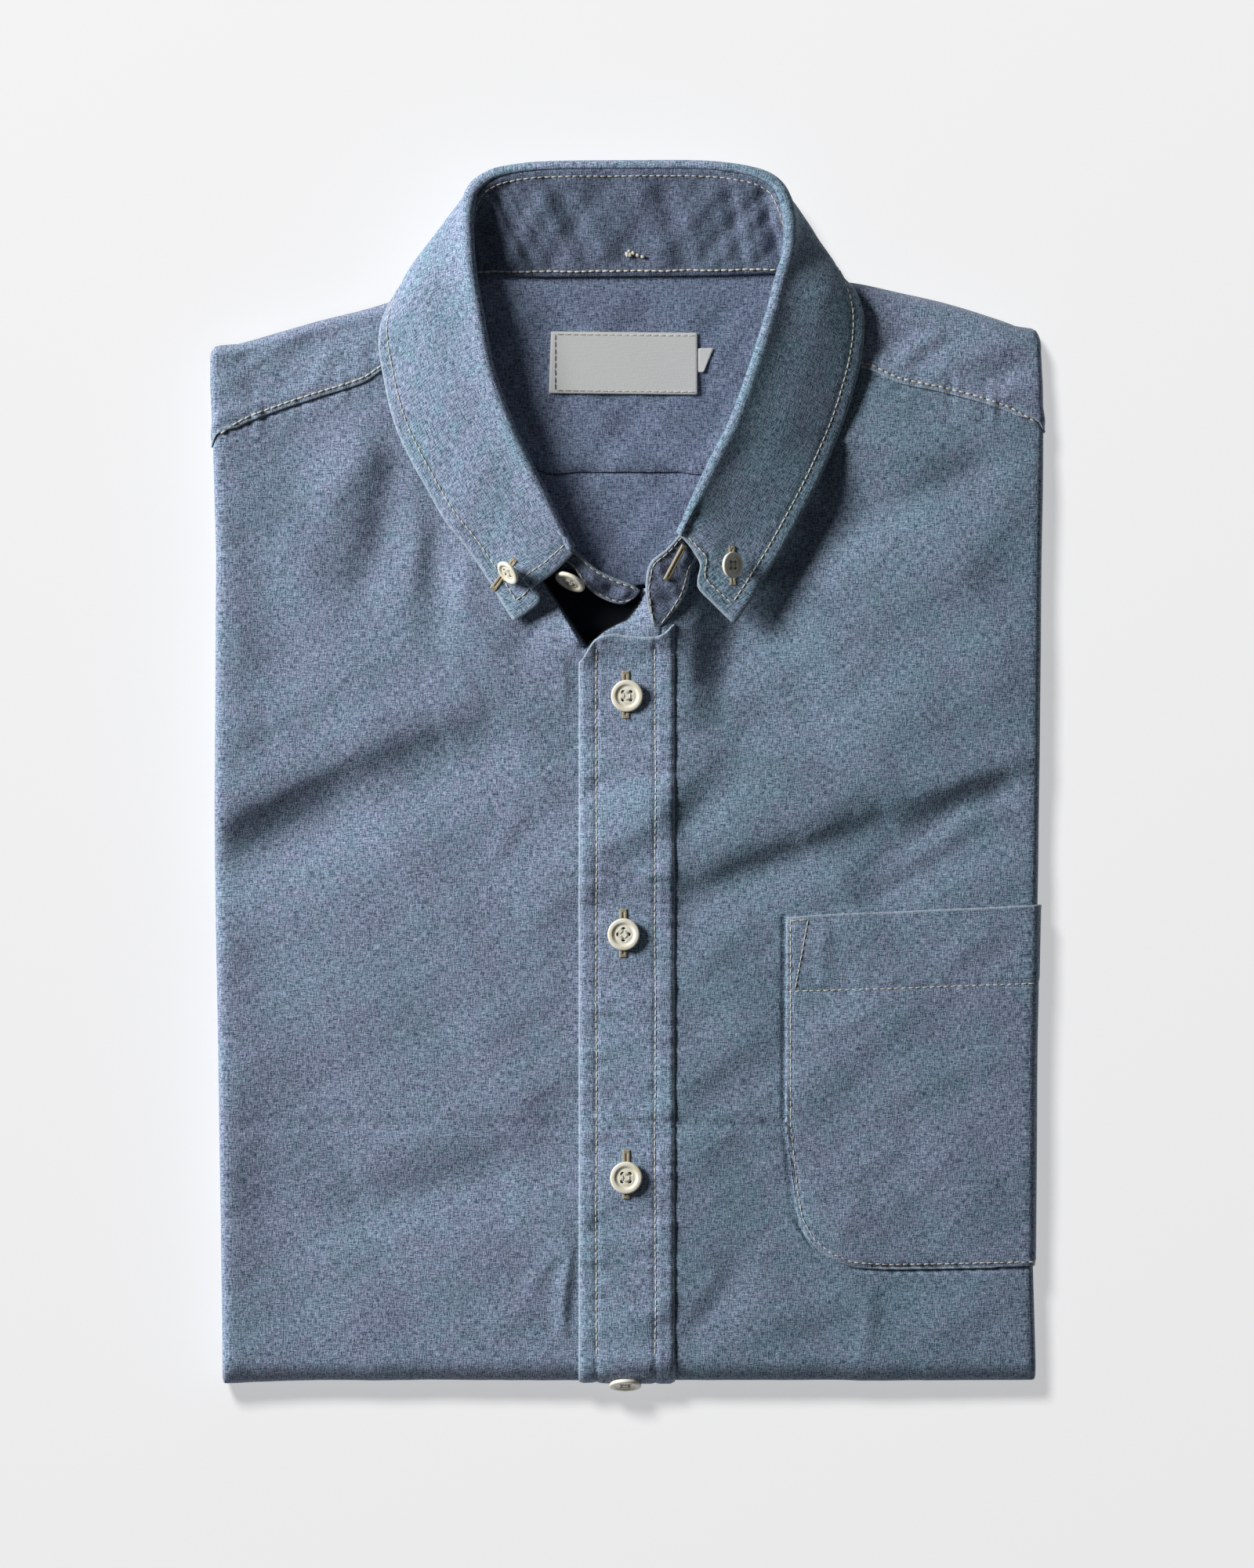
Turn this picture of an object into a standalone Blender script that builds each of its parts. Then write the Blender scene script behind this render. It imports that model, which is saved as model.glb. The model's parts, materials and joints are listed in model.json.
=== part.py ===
"""Chambray button-down shirt, folded face up on a flat surface. Sizes are in millimetres; +Y is towards the collar."""

import math

import bmesh
import bpy
import numpy as np
from mathutils import Matrix, Vector

MM = 0.001
CLOTH = 1.0  # wall of a single cloth
COLLAR_CLOTH = 1.6  # wall of the leaf and the stand, which are two cloths
GAP = 0.3  # between pieces
ON_TOP = CLOTH + GAP  # rise of what lies on a panel
CORE_INSET = 1.75  # the hidden layers start this far under the panels
FOLD_DEEPER = 1.1  # and a little further in round the bottom fold

BOTTOM_Y = -215.6  # lowest fold
SIDE_ROUND = 0.26  # radius of a side fold, as a share of the height there
SHOULDER_ROUND = 4.0  # reach of the shoulder fold
LOBE_SPLIT = 0.45  # height of the groove between the upper and the lower fold
LOBE_INSET = 2.0  # the lower fold stands back by this
SIDE_FALL = 2.0  # the bundle is thinner at its sides
NECK_FLOOR = 9.5  # top of the back's inner face in the neck opening
NECK_FLOOR_BACK = 11.0

SIDE_ANGLES = (105, 80, 55, 30)  # round a side fold, from the panel's end up
CORE_SIDE = ((145, 0.0), (123, 0.0), (120, 1.0))  # angle, share of the inset
CORE_FOLD = ((180, 0.0), (163, 0.0), (148, 0.0), (145, CORE_INSET))  # angle, inset
CORE_SHOULDER = ((112, CORE_INSET), (115, 0.0))
GROOVE_DEPTH = 5.5
LOBE_ANGLES = (20, 45, 70, 95, 120, 145, 165)  # from the floor up
FOLD_ANGLES = (140, 120, 100, 80, 60, 40, 20)  # round the bottom fold
SHOULDER_ANGLES = (30, 60, 90, 105)

# Left and right outline against y.
EDGE = np.array(
    [
        # y, left, right
        (-217.0, -144.5, 146.3),
        (-200.0, -144.6, 145.8),
        (-175.0, -144.9, 145.1),
        (-96.0, -146.0, 145.6),
        (-50.0, -146.9, 146.6),
        (-30.0, -147.3, 147.0),
        (20.0, -147.0, 147.6),
        (80.0, -146.8, 148.2),
        (100.0, -147.4, 148.6),
        (123.0, -148.0, 148.85),
        (140.0, -148.85, 148.6),
        (152.0, -148.85, 148.0),
    ]
)

# Height of the top face along the middle.
CROWN = np.array(
    [
        # y, z
        (-230.0, 16.4),
        (-208.0, 16.6),
        (-150.0, 18.0),
        (-50.0, 18.8),
        (40.0, 18.4),
        (100.0, 17.0),
        (140.0, 15.2),
        (175.0, 13.2),
        (190.0, 13.0),
    ]
)

# Where the lines across the shirt lie, against x.
LINES = np.array(
    [
        # x, pocket foot, pocket top, placket top, front's top edge, back seam, shoulder
        (-149.0, -175.0, -46.0, 92.0, 118.0, 130.0, 148.5),
        (-139.0, -175.0, -46.0, 96.0, 125.0, 137.0, 151.0),
        (-125.0, -175.0, -46.0, 100.0, 130.9, 143.0, 155.0),
        (-110.0, -175.0, -46.0, 102.0, 135.9, 150.0, 159.3),
        (-95.0, -175.0, -46.0, 104.0, 140.7, 154.0, 163.0),
        (-81.0, -175.0, -46.0, 100.0, 147.0, 158.0, 167.0),
        (-68.0, -175.0, -46.0, 92.0, 133.0, 152.0, 170.0),
        (-55.0, -175.0, -46.0, 82.0, 110.0, 137.0, 172.5),
        (-42.5, -175.0, -46.0, 70.0, 90.0, 119.0, 173.5),
        (-30.0, -175.0, -46.0, 58.0, 74.5, 109.3, 174.0),
        (-17.0, -175.0, -46.0, 41.0, 75.0, 109.3, 174.0),
        (-11.5, -175.0, -46.0, 48.6, 68.0, 109.3, 174.0),
        (-6.0, -175.0, -46.0, 50.8, 64.5, 109.3, 174.0),
        (0.0, -175.0, -46.0, 50.2, 65.5, 109.3, 174.0),
        (6.0, -175.0, -46.0, 49.6, 67.5, 109.3, 174.0),
        (12.3, -175.0, -46.0, 50.5, 62.5, 109.3, 174.0),
        (17.0, -172.0, -47.0, 54.5, 66.5, 109.3, 174.0),
        (30.0, -166.0, -48.5, 68.0, 88.0, 109.3, 174.3),
        (44.0, -158.0, -49.5, 80.0, 105.0, 122.0, 174.6),
        (57.5, -153.0, -50.0, 90.0, 122.0, 140.0, 174.6),
        (69.0, -170.0, -49.2, 98.0, 137.0, 154.0, 174.0),
        (81.0, -175.0, -48.6, 104.0, 146.0, 159.0, 172.8),
        (98.0, -175.5, -48.0, 104.0, 140.7, 154.0, 169.2),
        (113.0, -175.4, -47.3, 102.0, 137.5, 151.0, 165.8),
        (128.0, -175.0, -46.7, 98.0, 133.5, 146.0, 161.3),
        (137.5, -174.7, -46.2, 96.0, 130.0, 142.0, 158.0),
        (149.0, -174.3, -45.5, 92.0, 123.3, 137.0, 152.9),
    ]
)
# Rows from each of these lines to the next, as shares of the way.
ROWS_BETWEEN = (
    np.linspace(0, 1, 4)[1:],
    np.linspace(0, 1, 10)[1:],
    np.linspace(0, 1, 8)[1:],
    np.linspace(0, 1, 4)[1:],
    (0.1, 0.5, 1.0),
    np.linspace(0, 1, 5)[1:],
)
COLUMNS = (-132, -119.5, -107, -94, -81, -68, -55, -42.5, -30, -17, -11.5, -6, 0, 6, 12.3, 17)
COLUMNS += (30, 44, 57.5, 69, 81, 94, 107, 119.5, 132)

# The largest folds: a soft trough or ridge from one point to another.
FOLDS = (
    # x0, y0, x1, y1, half width, rise
    (-150, -35, -52, 9, 12, -2.3),
    (-150, -10, -58, 31, 13, 1.2),
    (-84, 108, -93, 70, 8, -1.7),
    (-70, 104, -67, 54, 8, -1.5),
    (-100, 114, -112, 80, 10, 1.2),
    (150, 3, 24, -43, 10, -2.4),
    (106, 27, 30, -18, 12, 1.0),
    (150, -18, 74, -44, 8, -1.4),
    (45, 18, 23, -13, 8, -1.5),
    (81, 121, 140, 109, 12, 1.4),
    (82, 92, 124, 112, 10, -1.5),
    (-140, -150, -31, -134, 14, -1.3),
    (20, -198, 39, -176, 8, -1.4),
    (-23, 70, -3, 62, 9, -6.5),
)

# The collar, from the wearer's right front round the back of the neck to the left front.
COLLAR = np.array(
    [
        # roll x, y, z, heading, lean, mid x, y, z, edge x, y, z, neck x, y, z
        (-20.6, 81.3, 22.0, 215, -55, -29.5, 70.5, 21.0, -39.4, 57.0, 19.4, -24.0, 77.5, 17.8),
        (-24.6, 88.6, 23.5, 208, -58, -36.0, 78.5, 22.8, -46.6, 67.2, 18.8, -33.0, 84.0, 18.2),
        (-30.2, 99.9, 25.0, 203, -60, -44.5, 91.5, 24.0, -57.0, 82.0, 18.8, -43.0, 96.0, 18.6),
        (-36.3, 112.0, 26.0, 200, -61, -50.8, 102.5, 24.7, -64.5, 91.5, 18.6, -51.0, 107.0, 18.6),
        (-41.2, 122.3, 26.5, 198, -62, -56.5, 112.5, 25.0, -69.0, 99.0, 18.4, -58.0, 117.0, 18.4),
        (-49.2, 143.8, 27.0, 195, -62, -66.0, 134.5, 25.2, -81.2, 122.3, 17.8, -68.0, 137.0, 17.9),
        (-53.4, 165.2, 26.5, 187, -58, -72.5, 157.0, 23.6, -87.0, 144.0, 17.0, -71.0, 153.0, 17.2),
        (-55.9, 179.6, 25.0, 180, -50, -75.0, 173.0, 21.5, -87.9, 160.0, 16.3, -69.0, 165.5, 16.2),
        (-56.8, 190.8, 23.0, 175, -30, -76.0, 182.0, 15.5, -80.5, 174.6, 10.6, -64.5, 173.5, 15.0),
        (-56.9, 200.6, 21.5, 166, 0, -67.5, 194.2, 12.5, -66.0, 180.5, 5.0, -58.0, 178.6, 14.2),
        (-54.9, 209.0, 19.6, 148, 34, -56.8, 205.4, 10.5, -52.0, 181.6, 3.4, -50.0, 179.2, 13.6),
        (-49.0, 213.9, 18.0, 118, 60, -49.4, 209.6, 9.2, -41.0, 181.8, 2.8, -42.5, 179.2, 13.2),
        (-40.4, 216.2, 17.0, 98, 75, -38.4, 206.0, 8.2, -30.0, 181.8, 2.6, -34.0, 179.0, 13.0),
        (-26.4, 217.4, 16.3, 92, 80, -25.5, 205.0, 7.8, -19.0, 181.8, 2.5, -23.0, 179.0, 12.9),
        (0.0, 217.7, 16.0, 90, 80, 0.0, 205.0, 7.6, 0.0, 181.8, 2.5, 0.0, 179.2, 12.8),
        (26.4, 217.6, 16.3, 88, 80, 25.5, 205.0, 7.8, 19.0, 181.8, 2.5, 23.0, 179.4, 12.9),
        (42.8, 215.7, 17.0, 80, 75, 39.5, 206.0, 8.2, 31.0, 181.8, 2.6, 35.0, 179.6, 13.0),
        (51.8, 212.2, 18.3, 58, 58, 51.4, 208.4, 9.4, 42.0, 181.8, 2.8, 43.5, 180.0, 13.2),
        (56.2, 206.0, 20.6, 28, 28, 59.2, 202.6, 11.0, 53.0, 181.8, 3.6, 51.0, 180.2, 13.6),
        (58.2, 197.0, 22.2, 12, -6, 67.5, 192.6, 13.0, 64.0, 181.4, 5.4, 58.5, 179.4, 14.2),
        (57.6, 187.0, 23.8, 5, -34, 73.8, 182.0, 16.2, 76.0, 178.6, 10.6, 65.0, 175.0, 15.0),
        (55.0, 177.5, 25.2, 0, -50, 71.5, 172.5, 21.8, 83.8, 167.5, 16.3, 69.0, 166.5, 16.2),
        (51.4, 163.8, 26.6, -8, -58, 68.0, 158.0, 24.3, 83.4, 150.0, 17.0, 71.0, 153.0, 17.2),
        (45.6, 145.2, 27.0, -16, -62, 62.5, 137.5, 25.2, 77.6, 128.5, 17.9, 68.0, 137.0, 17.9),
        (38.8, 126.5, 26.6, -20, -62, 55.5, 118.0, 25.0, 71.0, 112.0, 18.4, 58.0, 119.0, 18.4),
        (31.7, 112.5, 25.9, -24, -61, 47.0, 103.5, 24.5, 62.0, 94.0, 18.7, 50.0, 108.0, 18.6),
        (25.8, 99.9, 24.8, -27, -60, 39.0, 89.5, 23.6, 53.4, 78.6, 18.8, 41.0, 95.0, 18.6),
        (21.4, 90.0, 23.4, -30, -58, 32.0, 78.0, 22.4, 45.4, 67.0, 18.8, 33.0, 84.0, 18.2),
        (19.6, 86.2, 22.5, -33, -55, 26.6, 71.0, 21.2, 37.9, 56.2, 19.4, 25.0, 78.0, 18.6),
    ]
)
ROLL_RADIUS = 2.0  # of the leaf's middle where it turns over the stand

# The ends of the stand past the leaf, outwards from it.
STAND_END_RIGHT = (
    # upper edge x, y, z, neck edge x, y, z
    (-17.0, 79.0, 19.6, -19.5, 75.6, 18.6),
    (-11.0, 74.0, 18.6, -13.6, 67.6, 17.2),
    (-4.6, 70.8, 17.6, -7.0, 63.4, 16.2),
    (1.2, 68.6, 16.8, -1.5, 62.2, 15.9),
    (4.4, 66.6, 16.2, 2.8, 64.2, 15.9),
)
STAND_END_LEFT = (
    (14.2, 81.0, 21.6, 22.6, 74.6, 18.8),
    (8.6, 76.2, 21.2, 21.4, 67.8, 19.0),
    (7.0, 68.6, 20.8, 18.6, 61.8, 19.2),
    (7.8, 60.6, 20.6, 14.6, 57.0, 19.4),
    (9.6, 54.2, 20.2, 11.6, 53.8, 19.6),
)

BUTTON_DIAMETER = 11.5
SMALL_BUTTON_DIAMETER = 9.5
BUTTON_THICKNESS = 2.4
BUTTON_RIM = 0.7
BUTTON_HOLE = 1.5
HOLE_SPACING = 2.7
BUTTON_SIDES = 16

# name, diameter, x, y, z (None: on the placket), tilt, heading that the face leans to, turn
BUTTONS = (
    ("placket_button_1", BUTTON_DIAMETER, 0.0, 29.0, None, 0, 0, 0),
    ("placket_button_2", BUTTON_DIAMETER, -1.2, -56.0, None, 0, 0, 45),
    ("placket_button_3", BUTTON_DIAMETER, -0.3, -142.7, None, 0, 0, 0),
    ("placket_button_4", BUTTON_DIAMETER, -0.6, -217.5, 12.2, 70, 270, 0),
    ("stand_button", BUTTON_DIAMETER, -20.4, 69.4, 18.9, 58, 243, 0),
    ("collar_button_right", SMALL_BUTTON_DIAMETER, -42.6, 72.6, 25.4, 48, 220, 0),
    ("collar_button_left", SMALL_BUTTON_DIAMETER, 37.8, 75.5, 25.8, 42, 0, 0),
)

LABEL = (-27.0, 25.0, 137.4, 159.2)  # left, right, foot, top
SIZE_TAB = (25.6, 30.8, 144.9, 153.2)

CHAMBRAY = (0.13, 0.19, 0.28, 1.0)
CHAMBRAY_INSIDE = (0.10, 0.15, 0.24, 1.0)
IVORY = (0.80, 0.76, 0.62, 1.0)
OFF_WHITE = (0.72, 0.72, 0.70, 1.0)


def clear_scene():
    for item in list(bpy.data.objects):
        bpy.data.objects.remove(item, do_unlink=True)


def smoothstep(value):
    value = min(max(value, 0.0), 1.0)
    return value * value * (3 - 2 * value)


def edge_x(side, y):
    return float(np.interp(y, EDGE[:, 0], EDGE[:, 1 if side < 0 else 2]))


def fold_rise(x, y):
    """The folds' rise at a place: each falls off as a bell with the distance from its line."""
    total = 0.0
    for x0, y0, x1, y1, half_width, rise in FOLDS:
        along = ((x - x0) * (x1 - x0) + (y - y0) * (y1 - y0)) / ((x1 - x0) ** 2 + (y1 - y0) ** 2)
        along = min(max(along, 0.0), 1.0)
        away = math.hypot(x - x0 - along * (x1 - x0), y - y0 - along * (y1 - y0))
        total += rise * math.exp(-((away / half_width) ** 2))
    return total


def top_height(x, y):
    crown = float(np.interp(y, CROWN[:, 0], CROWN[:, 1]))
    return crown - SIDE_FALL * (abs(x) / 149.0) ** 2.5 + fold_rise(x, y)


def neck_height(x, y):
    """The same, sunk to the back's inner face between the two sides of the neck."""
    floor = NECK_FLOOR + (NECK_FLOOR_BACK - NECK_FLOOR) * smoothstep((y - 160) / 15)
    shoulder = smoothstep((abs(x) - 50) / 28)
    return floor + (top_height(x, y) - floor) * shoulder


def line_places():
    """The flat rows, bottom to top, as places between the lines: 2.5 is halfway from the third line to the fourth."""
    places = [0.0]
    for line, steps in enumerate(ROWS_BETWEEN):
        places += [line + step for step in steps]
    return places


def line_rows():
    """Every row across the shirt: its kind, and the place between two lines or the angle round a fold."""
    rows = [("fold", math.radians(angle)) for angle in FOLD_ANGLES]
    rows += [("flat", place) for place in line_places()]
    return rows + [("shoulder", math.radians(angle)) for angle in SHOULDER_ANGLES]


def all_columns():
    """Every column from left to right: the side, the angle round the side fold, and x."""
    left = [(-1, math.radians(angle), -149.0) for angle in SIDE_ANGLES + (0,)]
    right = [(1, angle, -x) for _, angle, x in reversed(left)]
    return left + [(0, 0.0, float(x)) for x in COLUMNS] + right


def row_y(row, x):
    """y of a row at x, before the rounding over of the folds."""
    kind, place = row
    lines = [float(np.interp(x, LINES[:, 0], LINES[:, line])) for line in range(1, 7)]
    start = BOTTOM_Y + top_height(x, BOTTOM_Y + 8.3) / 2
    if kind == "fold":
        return start
    if kind == "shoulder":
        return lines[-1]
    return float(np.interp(place, range(7), [start] + lines))


def body_point(row, column, out=0.0):
    """A point of the folded bundle's skin, moved out by out."""
    kind, place = row
    side, turn, x = column
    y = row_y(row, x)
    in_neck = kind == "shoulder" or (kind == "flat" and place > 4.001)
    dip, across = 0.0, 0.0
    if side:
        radius = SIDE_ROUND * top_height(side * 145, y)
        if kind == "fold":
            radius *= 1 - 0.5 * math.sin(min(place, math.pi / 2))
        x = edge_x(side, y) - side * radius
        across = side * (radius + out) * math.sin(turn)
        dip = radius * (1 - math.cos(turn))
    height = neck_height(x, y) if in_neck else top_height(x, y)
    lift = out * math.cos(turn)
    if kind == "fold":
        middle = height / 2
        reach = middle - dip + lift
        return (x + across, y - reach * math.sin(place), middle + reach * math.cos(place))
    if kind == "shoulder":
        split = LOBE_SPLIT * height
        share = max(1 - dip / (height - split), 0.05)
        reach = (SHOULDER_ROUND + out) * share
        rise = (height - split) * share + lift
        return (x + across, y + reach * math.sin(place), split + rise * math.cos(place))
    return (x + across, y, height - dip + lift)


def body_points(rows, columns, out=0.0):
    return np.array([[body_point(row, column, out) for column in columns] for row in rows])


def trimmed(points, foot=0.0, top=0.0, left=0.0, right=0.0):
    """The grid with its borders drawn in along the surface."""
    points = points.copy()
    for amount, border, inner in (
        (foot, points[0], points[1]),
        (top, points[-1], points[-2]),
        (left, points[:, 0], points[:, 1]),
        (right, points[:, -1], points[:, -2]),
    ):
        step = inner - border
        border += amount * step / np.linalg.norm(step, axis=1, keepdims=True)
    return points


def unit_frame(heading, lean):
    """The stand's upward direction and its outward face's direction."""
    turn, tilt = math.radians(heading), math.radians(lean)
    away = np.array([math.cos(turn), math.sin(turn), 0.0])
    up = np.array([0.0, 0.0, 1.0])
    return (
        math.sin(tilt) * away + math.cos(tilt) * up,
        math.cos(tilt) * away - math.sin(tilt) * up,
    )


def hermite(start, end, start_slope, end_slope, steps):
    """Points of a cubic from start, which is left out, to end."""
    points = []
    for step in range(1, steps + 1):
        u = step / steps
        points.append(
            (2 * u**3 - 3 * u**2 + 1) * start
            + (u**3 - 2 * u**2 + u) * start_slope
            + (3 * u**2 - 2 * u**3) * end
            + (u**3 - u**2) * end_slope
        )
    return points


def leaf_points():
    """The leaf's middle: at each place along the collar half a turn over the stand, then a curve out to the edge."""
    sections = []
    for row in COLLAR:
        centre, heading, lean, middle, edge = row[:3], row[3], row[4], row[5:8], row[8:11]
        up, face = unit_frame(heading, lean)
        section = []
        for angle in (0, 45, 90, 135, 180):
            turn = math.radians(angle)
            section.append(centre + ROLL_RADIUS * (up * math.sin(turn) - face * math.cos(turn)))
        start = section[-1]
        slope = (edge - start) * 0.5
        section += hermite(start, middle, -up * np.linalg.norm(middle - start), slope, 3)
        section += hermite(middle, edge, slope, edge - middle, 3)
        sections.append(section)
    return np.array(sections)


def stand_points():
    """The stand's middle, from its neck edge up to just under the leaf, with both ends."""
    sections = []
    for row in COLLAR:
        up, face = unit_frame(row[3], row[4])
        neck = row[11:14]
        top = row[:3] - ROLL_RADIUS * face - 0.8 * up
        reach = np.linalg.norm(top - neck)
        sections.append([neck] + hermite(neck, top, top - neck, up * reach, 4))
    ends = []
    for table in (STAND_END_RIGHT, STAND_END_LEFT):
        ends.append([])
        for row in table:
            top, neck = np.array(row[:3]), np.array(row[3:])
            ends[-1].append([neck] + hermite(neck, top, top - neck, top - neck, 4))
    return np.array(ends[0][::-1] + sections + ends[1])


def colour_material(name, colour, roughness):
    material = bpy.data.materials.new(name)
    material.use_nodes = True
    shader = material.node_tree.nodes["Principled BSDF"]
    shader.inputs["Base Color"].default_value = colour
    shader.inputs["Roughness"].default_value = roughness
    material.diffuse_color = colour
    return material


def add_object(name, mesh, collection, colour, roughness=0.85):
    mesh.materials.clear()
    mesh.materials.append(colour_material(name, colour, roughness))
    item = bpy.data.objects.new(name, mesh)
    collection.objects.link(item)
    return item


def cloth_sheet(name, points, collection, wall=CLOTH, side=-1.0, colour=CHAMBRAY):
    """A grid primitive bent to the points, as a wall of cloth."""
    rows, columns = points.shape[:2]
    shape = bmesh.new()
    bmesh.ops.create_grid(shape, x_segments=columns - 1, y_segments=rows - 1, size=1.0)
    for vertex in shape.verts:
        column = round((vertex.co.x + 1) / 2 * (columns - 1))
        row = round((vertex.co.y + 1) / 2 * (rows - 1))
        vertex.co = Vector(points[row, column]) * MM
    mesh = bpy.data.meshes.new(name)
    shape.to_mesh(mesh)
    shape.free()
    mesh.shade_smooth()
    item = add_object(name, mesh, collection, colour)
    solid = item.modifiers.new("wall", "SOLIDIFY")
    solid.thickness = wall * MM
    solid.offset = side
    return item


def lobe_points(y, side):
    """The lower fold at a side, from the floor up to the groove."""
    radius = (LOBE_SPLIT * top_height(side * 145, y) - 0.4) / 2
    middle = edge_x(side, y) - side * (LOBE_INSET + radius)
    points = []
    for angle in LOBE_ANGLES:
        turn = math.radians(angle)
        points.append((middle + side * radius * math.sin(turn), y, radius - radius * math.cos(turn)))
    return points


def core_row(row, inset):
    """A row of the hidden layers' upper skin: a side, the columns of the panels, and the other side."""
    inset *= FOLD_DEEPER if row[0] == "fold" else 1.0
    sides = []
    for side in (-1, 1):
        corner = [(side, math.radians(angle), side * 149.0) for angle, _ in CORE_SIDE]
        shares = [share * inset for _, share in CORE_SIDE]
        sides.append([body_point(row, place, -share) for place, share in zip(corner, shares)])
    return sides[0] + [body_point(row, column, -inset) for column in all_columns()] + sides[1][::-1]


def groove_ends(row):
    """The two points of the groove between the upper and the lower fold."""
    ends = []
    for side in (-1, 1):
        y = row_y(row, side * 149.0)
        share = 0.5 if row[1] == 0.0 else LOBE_SPLIT
        ends.append((edge_x(side, y) - side * GROOVE_DEPTH, y, share * top_height(side * 145, y)))
    return ends


def floor_row(row, last):
    """A row of the hidden layers' underside. The last one follows the shoulders, and the others go straight over."""
    sides = [lobe_points(row_y(row, side * 149.0) + (1.5 if last else 0.0), side) for side in (-1, 1)]
    if last:
        flat = [column[2] * 0.955 for column in all_columns() if not column[0] or column[1] == 0.0]
        middle = [(x, row_y(row, x) + 1.5, 0.0) for x in flat]
    else:
        middle = [(sides[0][0][0] + 2.0, sides[0][0][1], 0.0), (sides[1][0][0] - 2.0, sides[1][0][1], 0.0)]
    return sides[0][::-1] + middle + sides[1]


def folded_core(collection):
    """The hidden back, sleeves and tail as one rounded body. Its upper skin runs under the panels and round the bottom
    fold onto the floor, a lower fold shows at each side, and all rows meet at a groove between the two."""
    body = bmesh.new()

    def add(points):
        return [body.verts.new(Vector(point) * MM) for point in points]

    def bridge(first, second):
        for index in range(len(first) - 1):
            body.faces.new((first[index], first[index + 1], second[index + 1], second[index]))

    def fan(first, second, ends):
        bridge(first, second)
        body.faces.new((ends[0], first[0], second[0]))
        body.faces.new((first[-1], ends[1], second[-1]))

    flats = [("flat", place) for place in line_places()]
    grooves = [add(groove_ends(row)) for row in flats]
    skins = [add(core_row(row, CORE_INSET)) for row in flats]
    under = [("fold", math.radians(angle), inset) for angle, inset in CORE_FOLD]
    under += [("fold", math.radians(angle), CORE_INSET) for angle in FOLD_ANGLES]
    under = [add(core_row((kind, angle), inset)) for kind, angle, inset in under]
    over = [("shoulder", math.radians(angle), CORE_INSET) for angle in SHOULDER_ANGLES]
    over += [("shoulder", math.radians(angle), inset) for angle, inset in CORE_SHOULDER]
    over = [add(core_row((kind, angle), inset)) for kind, angle, inset in over]
    floors = [add(floor_row(row, row is flats[-1])) for row in flats[1:]]

    for first, second in zip(under, under[1:] + skins[:1]):
        fan(first, second, grooves[0])
    for first, second in zip(skins[-1:] + over, over + floors[-1:]):
        fan(first, second, grooves[-1])
    for index in range(len(skins) - 1):
        near, far = grooves[index], grooves[index + 1]
        bridge(near[:1] + skins[index] + near[1:], far[:1] + skins[index + 1] + far[1:])
    side = len(CORE_SIDE) + len(SIDE_ANGLES)
    floors.insert(0, under[0])
    for index in range(len(floors) - 1):
        first, second = floors[index], floors[index + 1]
        near, far = grooves[index], grooves[index + 1]
        bridge(near[:1] + first[: side + 1], far[:1] + second[: side + 1])
        bridge(first[-side - 1 :] + near[1:], second[-side - 1 :] + far[1:])
        body.faces.new(first[side:-side] + second[side:-side][::-1])
    bmesh.ops.recalc_face_normals(body, faces=body.faces)
    mesh = bpy.data.meshes.new("folded_core")
    body.to_mesh(mesh)
    body.free()
    mesh.shade_smooth()
    return add_object("folded_core", mesh, collection, CHAMBRAY)


def cylinder(name, radius, depth, centres, segments, collection):
    """Upright cylinders round the given centres, as one mesh."""
    shape = bmesh.new()
    for centre in centres:
        bmesh.ops.create_cone(
            shape,
            cap_ends=True,
            segments=segments,
            radius1=radius * MM,
            radius2=radius * MM,
            depth=depth * MM,
            matrix=Matrix.Translation(Vector(centre) * MM),
        )
    mesh = bpy.data.meshes.new(name)
    shape.to_mesh(mesh)
    shape.free()
    item = bpy.data.objects.new(name, mesh)
    collection.objects.link(item)
    item.hide_render = True
    item.display_type = "WIRE"
    return item


def button_mesh(cutters):
    """A four-hole button, face up round the origin, with a raised rim."""
    radius = BUTTON_DIAMETER / 2
    blank = cylinder("button_blank", radius, BUTTON_THICKNESS, [(0, 0, 0)], BUTTON_SIDES, cutters)
    dish = cylinder("button_dish", radius - 1.5, 2 * BUTTON_RIM, [(0, 0, BUTTON_THICKNESS / 2)], BUTTON_SIDES, cutters)
    reach = HOLE_SPACING / 2
    centres = [(x * reach, y * reach, 0) for x in (-1, 1) for y in (-1, 1)]
    holes = cylinder("button_holes", BUTTON_HOLE / 2, 3 * BUTTON_THICKNESS, centres, 6, cutters)
    edge = blank.modifiers.new("edge", "BEVEL")
    edge.width = 0.45 * MM
    edge.segments = 1
    edge.limit_method = "ANGLE"
    edge.angle_limit = math.radians(80)
    for cutter in (dish, holes):
        cut = blank.modifiers.new(cutter.name, "BOOLEAN")
        cut.operation = "DIFFERENCE"
        cut.solver = "EXACT"
        cut.object = cutter
    bpy.context.view_layer.update()
    graph = bpy.context.evaluated_depsgraph_get()
    mesh = bpy.data.meshes.new_from_object(blank.evaluated_get(graph))
    blank.modifiers.clear()
    return mesh


def add_button(shape, collection, name, diameter, x, y, z, tilt, heading, turn):
    mesh = shape.copy()
    mesh.transform(Matrix.Scale(diameter / BUTTON_DIAMETER, 4))
    item = add_object(name, mesh, collection, IVORY, 0.35)
    if z is None:
        z = top_height(x, y) + ON_TOP + 2 * GAP + BUTTON_THICKNESS / 2
    away = math.radians(heading)
    lean = Matrix.Rotation(math.radians(tilt), 4, Vector((-math.sin(away), math.cos(away), 0)))
    spin = Matrix.Rotation(math.radians(turn), 4, "Z")
    item.matrix_world = Matrix.Translation(Vector((x, y, z)) * MM) @ lean @ spin
    return item


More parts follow.
